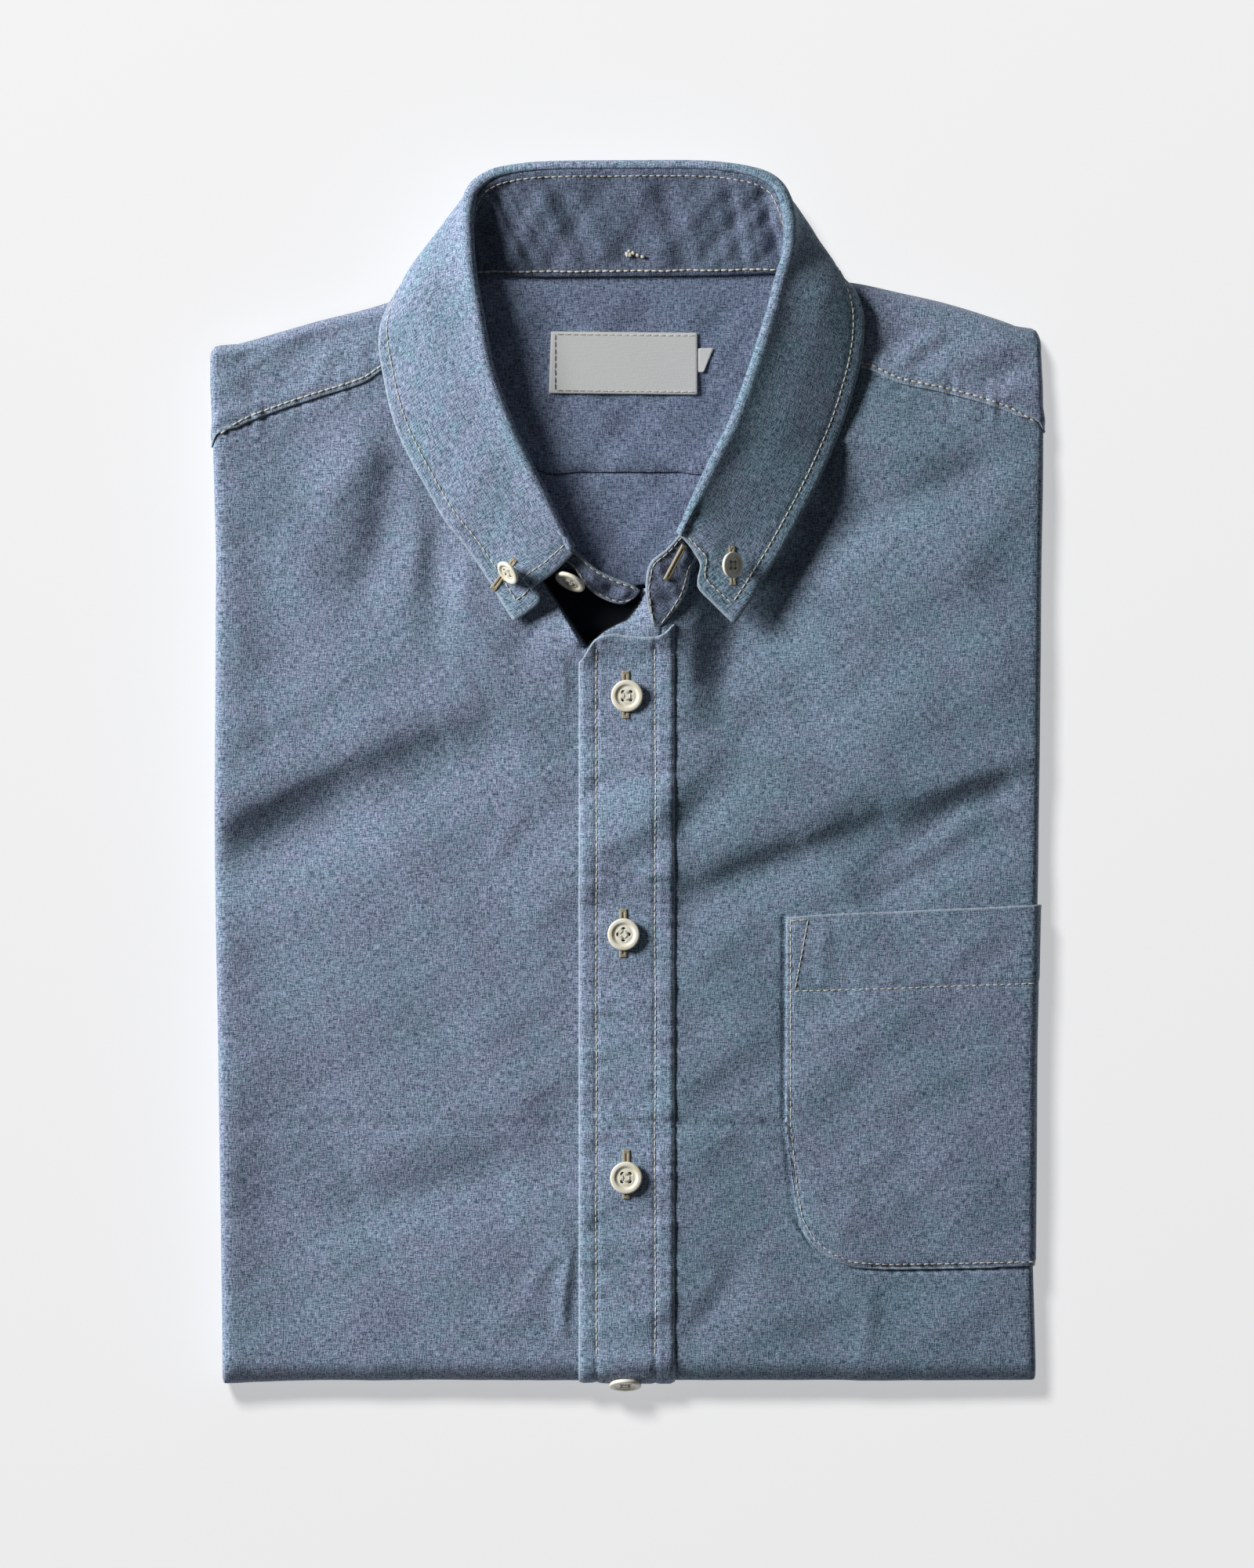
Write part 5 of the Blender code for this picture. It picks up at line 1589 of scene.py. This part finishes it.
def bar_arrays(start, end, radius, lift, sides=8):
    """A bundle of thread from start to end, arched up by lift and thin at its ends."""
    u = np.linspace(0, 1, 9)
    start, end = np.asarray(start, float), np.asarray(end, float)
    line = start + (end - start) * u[:, None] + np.array([0, 0, lift]) * (4 * u * (1 - u))[:, None]
    forward = unit(end - start)
    side = unit(np.cross(forward, [0, 0, 1.0]))
    up = np.cross(side, forward)
    turns = np.arange(sides) * 2 * math.pi / sides
    size = radius * np.sqrt(np.clip(1 - (2 * u - 1) ** 6, 0.05, 1))
    ring = side[None] * np.cos(turns)[:, None] + up[None] * np.sin(turns)[:, None]
    points = line[:, None] + ring[None] * size[:, None, None]
    return points.reshape(-1, 3), grid_faces(9, sides, 0, True)[:, ::-1]


def build_buttons():
    """The buttons, each with four strands round its holes, doubled, and a shank of thread under it."""
    sizes = bpy.context.scene.shirt_sizes
    material = button_material(bpy.context.scene.shirt_colours.button)
    threads = []
    for name, small, x, y, z, tilt, heading, turn in BUTTONS:
        diameter = (sizes.collar_button if small else sizes.button) / MM
        points, faces, sunk = button_arrays(diameter)
        if z is None:
            z = float(top_height(np.array(x), np.array(y))) + ON_TOP + 1.9
        at = np.array([x, y, z])
        # The holes' pit mask goes in the from_edge attribute, where it paints shade in them.
        mesh = make_mesh(f"{name}_ivory", turned(points, tilt, heading, turn) + at, faces[:, ::-1], from_edge=sunk)
        add_piece(f"{name}_ivory", mesh, material, name)
        reach = HOLE_AT * diameter / FULL_BUTTON
        for sx, sy, ex, ey in ((-1, -1, 1, -1), (1, -1, 1, 1), (1, 1, -1, 1), (-1, 1, -1, -1)):
            for shift, lift in ((-0.2, 0.3), (0.2, 0.42)):
                across = np.array([-(ey - sy), ex - sx, 0.0]) / 2.0 * shift
                start = np.array([sx * reach, sy * reach, -0.4]) + across
                end = np.array([ex * reach, ey * reach, -0.4]) + across
                found, strand_faces = bar_arrays(start, end, 0.22, lift)
                threads.append((turned(found, tilt, heading, turn) + at, strand_faces))
        shank, shank_faces = bar_arrays((0, 0, -1.2), (0.05, 0, -3.2), 1.0, 0.0)
        threads.append((turned(shank, tilt, heading, turn) + at, shank_faces))
    points, faces = join_parts(threads)
    add_piece("button_threads", make_mesh("button_threads", points, faces), sewing_thread())


def buttonhole_arrays(length, width):
    """A worked buttonhole round the origin, along Y: two satin lips, a slit between them and a bar at each end. Its
    height is the lips' half rounds, with fine ribs across them."""
    u = np.linspace(-1, 1, 25)
    v = np.linspace(-0.5, 0.5, int(length / 0.16))
    x, y = u[None, :] * width / 2 + 0 * v[:, None], v[:, None] * length + 0 * u[None, :]
    lip = np.sqrt(np.clip(1 - ((np.abs(x) - width / 4) / (width / 4)) ** 2, 0, 1))
    at_end = smoothstep((np.abs(y) - length / 2 + 1.8) / 0.5)
    bar = np.sqrt(np.clip(1 - (2 * x / width) ** 4, 0, 1)) * (0.9 + 0.1 * np.cos(x * 14))
    ribs = 0.07 * np.sin(y * 2 * math.pi / 0.42) + 0.03 * np.sin(y * 2 * math.pi / 0.29)
    height = 0.5 * (lip * (1 - at_end) + bar * at_end) + ribs * (lip > 0.2)
    border = np.minimum(smoothstep((length / 2 - np.abs(y)) / 0.5), smoothstep((width / 2 - np.abs(x)) / 0.3))
    z = height * border - 0.35 * (1 - border)
    return np.stack([x, y, z], axis=-1)


def build_buttonholes():
    """The worked buttonholes: three on the placket, one on each point of the leaf and one on the stand's left end."""
    shapes = []
    for x, y, length in PLACKET_HOLES:
        shape = buttonhole_arrays(length, 3.1)
        px, py = shape[..., 0] + x, shape[..., 1] + y
        surface = top_height(px, py) + placket_out(px, py)
        shapes.append(np.stack([px, py, surface + shape[..., 2]], axis=-1))
    leaf = leaf_grid()[0]
    wall = bpy.context.scene.shirt_sizes.band / MM
    for x, y, tilt, length in COLLAR_HOLES:
        shape = buttonhole_arrays(length, 2.6)
        turn = math.radians(tilt)
        px = shape[..., 0] * math.cos(turn) - shape[..., 1] * math.sin(turn) + x
        py = shape[..., 0] * math.sin(turn) + shape[..., 1] * math.cos(turn) + y
        z = height_over(leaf, px, py) + wall / 2
        shapes.append(np.stack([px, py, z + shape[..., 2]], axis=-1))
    parts = [(points.reshape(-1, 3), grid_faces(*points.shape[:2])) for points in shapes]
    start, end = STAND_HOLE
    shape = buttonhole_arrays(float(np.linalg.norm(end - start)), 2.4)
    forward = unit(end - start)
    side = unit(np.cross(forward, HOLE_FACING))
    up = np.cross(side, forward)
    points = (start + end) / 2 + shape[..., :1] * side + shape[..., 1:2] * forward + shape[..., 2:] * up
    parts.append((points.reshape(-1, 3), grid_faces(*points.shape[:2])[:, ::-1]))
    points, faces = join_parts(parts)
    add_piece("buttonholes", make_mesh("buttonholes", points, faces), hole_thread())


def height_over(grid, x, y):
    """The height of a grid's points near x and y, by the distance-weighted mean of the nearest ones."""
    flat = grid.reshape(-1, 3)
    near = flat[(np.abs(flat[:, 0] - x.mean()) < 16) & (np.abs(flat[:, 1] - y.mean()) < 16)]
    away = (x.ravel()[:, None] - near[None, :, 0]) ** 2 + (y.ravel()[:, None] - near[None, :, 1]) ** 2
    weight = 1 / (away + 0.02) ** 2
    return ((weight * near[None, :, 2]).sum(axis=1) / weight.sum(axis=1)).reshape(x.shape)


def build_labels():
    """The bare label and size tab: flat tapes with slightly slanted sides, just over the inner yoke."""
    tape = tape_material(bpy.context.scene.shirt_colours.label)
    for name, left, right, foot, top, tilt in TAPES:
        across = np.linspace(left, right, max(8, int((right - left) / 0.8)))
        up = np.linspace(foot, top, 26)
        x, y = across[None, :] + 0 * up[:, None], up[:, None] + 0 * across[None, :]
        share = (x - left) / (right - left)
        if name == "label":
            x = x + (y - top) * 0.038 * (1 - share)
            y = y - 0.5 * share
        else:
            x = x + (y - top) * 0.42 * share
        z = NECK_FLOOR + 1.25 + tilt * share + ripple(x + y * 0.3, ((47.0, 0.04), (23.0, 0.02)), 81)
        points = np.stack([x, y, z], axis=-1)
        flat = points[..., :2]
        add_cloth(f"{name}_tape", name, points, flat, 0.45, tape)


def build_stitching():
    """All stitches as one piece: the placket, the pocket, the shoulder seams, the leaf, the stand and the label."""
    sizes = bpy.context.scene.shirt_sizes
    thread, pitch, wall = sizes.thread / MM, sizes.stitch / MM, sizes.band / MM
    parts = []

    def run(path_and_normals, seed, size=1.0, **more):
        parts.append(stitch_parts(*path_and_normals, thread * size, pitch, seed=seed, **more))

    ys = np.linspace(-206, 46.0, 330)
    for seed, x in ((1, PLACKET_STITCH_LEFT), (2, PLACKET_STITCH_RIGHT)):
        xs = x + ripple(ys, ((90.0, 0.12), (37.0, 0.06)), seed)
        run(raised_path(xs, ys, placket_out), seed, size=1.2)
    inset = 1.5
    inset_x = inset * np.array([1, 1, 0.9, 0.75, 0.5, 0.2, 0, 0, 0])
    inset_y = inset * np.array([0.05, 0.1, 0.35, 0.7, 0.85, 1, 1, 1, 1])
    outline_x = np.concatenate([np.full(60, POCKET_SIDE + inset), POCKET_FOOT[1:, 0] + inset_x])
    outline_y = np.concatenate([np.linspace(-50.5, -124.0, 60), POCKET_FOOT[1:, 1] + inset_y])
    keep = outline_x < 146.5
    outline_x = np.append(outline_x[keep], 145.6)
    outline_y = np.append(outline_y[keep], -172.9)
    run(raised_path(outline_x, outline_y, pocket_out), 3)
    hem_x = np.linspace(POCKET_SIDE + 0.4, 145.5, 90)
    hem_y = np.interp(hem_x, POCKET_HEM[:, 0], POCKET_HEM[:, 1])
    run(raised_path(hem_x, hem_y, pocket_out), 4)
    for seed, corner_x, corner_y in ((5, (58.2, 64.6), (-51.2, -50.8)), (6, (64.6, 60.0), (-50.8, -75.4))):
        run(raised_path(np.linspace(*corner_x, 12), np.linspace(*corner_y, 12), pocket_out), seed)
    for seed, low, high in ((7, -145.0, -80.0), (8, 80.0, 146.0)):
        xs = np.linspace(low, high, 70)
        ys = through(LINES[:, 0], LINES[:, FRONT_TOP], xs) + 1.6
        run(top_path(xs, ys, 0.56), seed, size=1.6, gap=0.12)

    leaf = leaf_grid()[0]
    on_leaf = LEAF_SIDE * (wall / 2 + 0.02)
    rows = np.arange(len(leaf), dtype=float)
    columns = columns_from_edge(leaf, LEAF_STITCH)
    along = walked(leaf[:, -1])
    first = np.searchsorted(along, LEAF_STITCH + 0.5)
    last = np.searchsorted(along, along[-1] - LEAF_STITCH - 0.5)
    run(grid_path(leaf, rows[first:last], columns[first:last], on_leaf), 11, size=1.25)
    for seed, row in ((12, first), (13, last)):
        down = np.linspace(10.0, columns[row], 60)
        run(grid_path(leaf, np.full(60, float(row)), down, on_leaf), seed, size=1.25)

    stand = stand_grid()[0]
    on_stand = STAND_SIDE * (wall / 2 + 0.03)
    rows = np.arange(STAND_END_ROWS, len(stand) - STAND_END_ROWS, dtype=float)
    width = stand.shape[1] - 1
    for seed, share, size, gap in ((21, 0.945, 1.1, 0.22), (22, 0.045, 1.7, 0.1)):
        run(grid_path(stand, rows, np.full(len(rows), width * share), -on_stand), seed, size=size, gap=gap)
    for seed, low, high in ((23, 2.0, 34.0), (25, len(stand) - 34.0, len(stand) - 3.0)):
        rows = np.linspace(low, high, 70)
        for shift, share in ((0, 0.08), (1, 0.92)):
            run(grid_path(stand, rows, np.full(70, width * share), on_stand), seed + shift)
    knot = through(np.arange(len(KNOT)), KNOT, np.linspace(0, len(KNOT) - 1, 60))
    path = np.stack([knot[:, 0], knot[:, 1], height_over(stand, knot[:, 0], knot[:, 1]) + 1.0], axis=-1)
    parts.append(stitch_parts(path, np.tile([0.0, -0.5, 0.87], (60, 1)), 3.2 * thread, 1.6, gap=0.0, lift=0.2, seed=41))

    upward = np.array([0.0, 0.0, 1.0])
    path = np.stack([np.full(24, -25.6), np.linspace(138.2, 158.6, 24), np.full(24, NECK_FLOOR + 1.3)], axis=-1)
    run((path, np.tile(upward, (24, 1))), 31)
    for seed, y in ((32, 138.2), (33, 158.3)):
        xs = np.linspace(-25.0, 24.4, 60)
        path = np.stack([xs, np.full(60, y) - 0.5 * (xs + 27) / 52, np.full(60, NECK_FLOOR + 1.27)], axis=-1)
        run((path, np.tile(upward, (60, 1))), seed, lift=0.02)
    points, faces = join_parts(parts)
    add_piece("topstitching", make_mesh("topstitching", points, faces), sewing_thread())


def build_stage():
    """The floor, the surrounding light, three lamps that each reach their own pieces, and the camera from above."""
    scene = bpy.context.scene
    stage = scene.shirt_stage
    scene.view_settings.view_transform = "Standard"
    scene.view_settings.look = "None"
    corners = FLOOR_HALF * np.array([(-1, -1, 0), (1, -1, 0), (1, 1, 0), (-1, 1, 0)])
    mesh = make_mesh("floor", corners, np.array([[0, 1, 2, 3]]))
    material, _, shader = base_material("pale_floor", 0.95)
    shader.inputs["Base Color"].default_value = opaque(stage.floor)
    shader.inputs["Specular IOR Level"].default_value = 0.0
    shader.inputs["Emission Color"].default_value = (1.0, 1.0, 1.0, 1.0)
    shader.inputs["Emission Strength"].default_value = stage.glow
    mesh.materials.append(material)
    floor = bpy.data.objects.new("floor", mesh)
    scene.collection.objects.link(floor)

    world = bpy.data.worlds.new("studio")
    scene.world = world
    world.use_nodes = True
    background = world.node_tree.nodes["Background"]
    background.inputs[0].default_value = (0.93, 0.96, 1.0, 1.0)
    background.inputs[1].default_value = stage.fill
    inside = [piece for piece in scene.objects if piece.name in INSIDE_PIECES]
    # name, direction, distance, diameter, power, pieces that it leaves out or (alone) reaches
    for name, direction, distance, diameter, power, pieces, alone in (
        ("key", (-0.83, 0.38, 0.44), 3.6, 1.50, stage.key, [floor, *inside], False),
        ("neck", (-0.66, 0.40, 0.60), 3.6, 1.80, stage.neck, inside, True),
        ("top", (-0.34, 0.55, 0.77), 5.0, 1.20, stage.top, [floor], True),
    ):
        light = bpy.data.lights.new(name, "AREA")
        light.shape = "DISK"
        light.size = diameter
        light.energy = power
        lamp = bpy.data.objects.new(name, light)
        toward = unit(np.array(direction))
        lamp.location = toward * distance
        lamp.rotation_euler = direction_to_turn(-toward)
        scene.collection.objects.link(lamp)
        lamp.light_linking.receiver_collection = reach_of(name, pieces, alone)

    for piece in scene.objects:
        if piece.type == "MESH" and piece is not floor and not piece.hide_render:
            kinds = {made.bl_idname for slot in piece.material_slots for made in slot.material.node_tree.nodes}
            if not kinds & {"ShaderNodeTexNoise", "ShaderNodeMapping"}:
                raise RuntimeError(f"{piece.name} has no procedural material")

    camera = bpy.data.cameras.new("camera")
    camera.lens = stage.lens
    camera.sensor_width = 36.0
    camera.clip_end = 20.0
    height = stage.view_width * 1.25  # of a picture of four by five
    holder = bpy.data.objects.new("camera", camera)
    holder.location = (0.0, -2.4 * MM, height * stage.lens / 36.0 + 0.013)
    scene.collection.objects.link(holder)
    scene.camera = holder


def reach_of(name, pieces, alone):
    """A collection that has a light reach these pieces alone, or everything but them."""
    found = bpy.data.collections.new(f"reach_of_{name}")
    for piece in pieces:
        found.objects.link(piece)
    for entry in found.collection_objects:
        entry.light_linking.link_state = "INCLUDE" if alone else "EXCLUDE"
    return found


def direction_to_turn(direction):
    """The turn that points an object's -Z along a direction."""
    x, y, z = direction
    return (math.acos(max(-1.0, min(1.0, -z))), 0.0, math.atan2(y, x) - math.pi / 2)


# ---------------------------------------------------------------- operators and panel


class SHIRT_OT_layers(bpy.types.Operator):
    """Build the hidden layers of the folded shirt"""

    bl_idname = "shirt.layers"
    bl_label = "Folded layers"

    def execute(self, context):
        build_layers()
        return {"FINISHED"}


class SHIRT_OT_fronts(bpy.types.Operator):
    """Build the two fronts with their folds and creases"""

    bl_idname = "shirt.fronts"
    bl_label = "Fronts"

    def execute(self, context):
        build_fronts()
        return {"FINISHED"}


class SHIRT_OT_placket(bpy.types.Operator):
    """Build the placket that carries the buttonholes"""

    bl_idname = "shirt.placket"
    bl_label = "Placket"

    def execute(self, context):
        build_placket()
        return {"FINISHED"}


class SHIRT_OT_pocket(bpy.types.Operator):
    """Build the chest pocket"""

    bl_idname = "shirt.pocket"
    bl_label = "Pocket"

    def execute(self, context):
        build_pocket()
        return {"FINISHED"}


class SHIRT_OT_shoulders(bpy.types.Operator):
    """Build the two ends of the yoke over the shoulders"""

    bl_idname = "shirt.shoulders"
    bl_label = "Shoulders"

    def execute(self, context):
        build_shoulders()
        return {"FINISHED"}


class SHIRT_OT_inside(bpy.types.Operator):
    """Build the inner yoke and the back in the neck opening"""

    bl_idname = "shirt.inside"
    bl_label = "Inside of the neck"

    def execute(self, context):
        build_inside()
        return {"FINISHED"}


class SHIRT_OT_collar(bpy.types.Operator):
    """Build the collar's leaf and stand"""

    bl_idname = "shirt.collar"
    bl_label = "Collar"

    def execute(self, context):
        build_collar()
        return {"FINISHED"}


class SHIRT_OT_buttons(bpy.types.Operator):
    """Build the seven buttons and their threads"""

    bl_idname = "shirt.buttons"
    bl_label = "Buttons"

    def execute(self, context):
        build_buttons()
        return {"FINISHED"}


class SHIRT_OT_buttonholes(bpy.types.Operator):
    """Build the worked buttonholes"""

    bl_idname = "shirt.buttonholes"
    bl_label = "Buttonholes"

    def execute(self, context):
        build_buttonholes()
        return {"FINISHED"}


class SHIRT_OT_labels(bpy.types.Operator):
    """Build the bare label and size tab"""

    bl_idname = "shirt.labels"
    bl_label = "Labels"

    def execute(self, context):
        build_labels()
        return {"FINISHED"}


class SHIRT_OT_stitching(bpy.types.Operator):
    """Sew the seams with single stitches"""

    bl_idname = "shirt.stitching"
    bl_label = "Stitching"

    def execute(self, context):
        build_stitching()
        return {"FINISHED"}


class SHIRT_OT_stage(bpy.types.Operator):
    """Set the floor, the light and the camera"""

    bl_idname = "shirt.stage"
    bl_label = "Stage"

    def execute(self, context):
        build_stage()
        return {"FINISHED"}


OPERATORS = (
    SHIRT_OT_layers,
    SHIRT_OT_fronts,
    SHIRT_OT_placket,
    SHIRT_OT_pocket,
    SHIRT_OT_shoulders,
    SHIRT_OT_inside,
    SHIRT_OT_collar,
    SHIRT_OT_buttons,
    SHIRT_OT_buttonholes,
    SHIRT_OT_labels,
    SHIRT_OT_stitching,
    SHIRT_OT_stage,
)


class SHIRT_PT_panel(bpy.types.Panel):
    """The shirt's pieces, sizes, colours and stage"""

    bl_idname = "SHIRT_PT_panel"
    bl_label = "Folded shirt"
    bl_space_type = "VIEW_3D"
    bl_region_type = "UI"
    bl_category = "Shirt"

    def draw(self, context):
        for operator in OPERATORS:
            self.layout.operator(operator.bl_idname)
        for group in (context.scene.shirt_sizes, context.scene.shirt_colours, context.scene.shirt_stage):
            box = self.layout.box()
            for name in group.__annotations__:
                box.prop(group, name)


GROUPS = (("shirt_sizes", ShirtSizes), ("shirt_colours", ShirtColours), ("shirt_stage", ShirtStage))


def register():
    for name, group in GROUPS:
        bpy.utils.register_class(group)
        setattr(bpy.types.Scene, name, bpy.props.PointerProperty(type=group))
    for operator in OPERATORS:
        bpy.utils.register_class(operator)
    bpy.utils.register_class(SHIRT_PT_panel)


def unregister():
    bpy.utils.unregister_class(SHIRT_PT_panel)
    for operator in reversed(OPERATORS):
        bpy.utils.unregister_class(operator)
    for name, group in reversed(GROUPS):
        delattr(bpy.types.Scene, name)
        bpy.utils.unregister_class(group)


def main():
    register()
    for operator in OPERATORS:
        getattr(bpy.ops.shirt, operator.bl_idname.split(".")[1])()


if __name__ == "__main__":
    main()
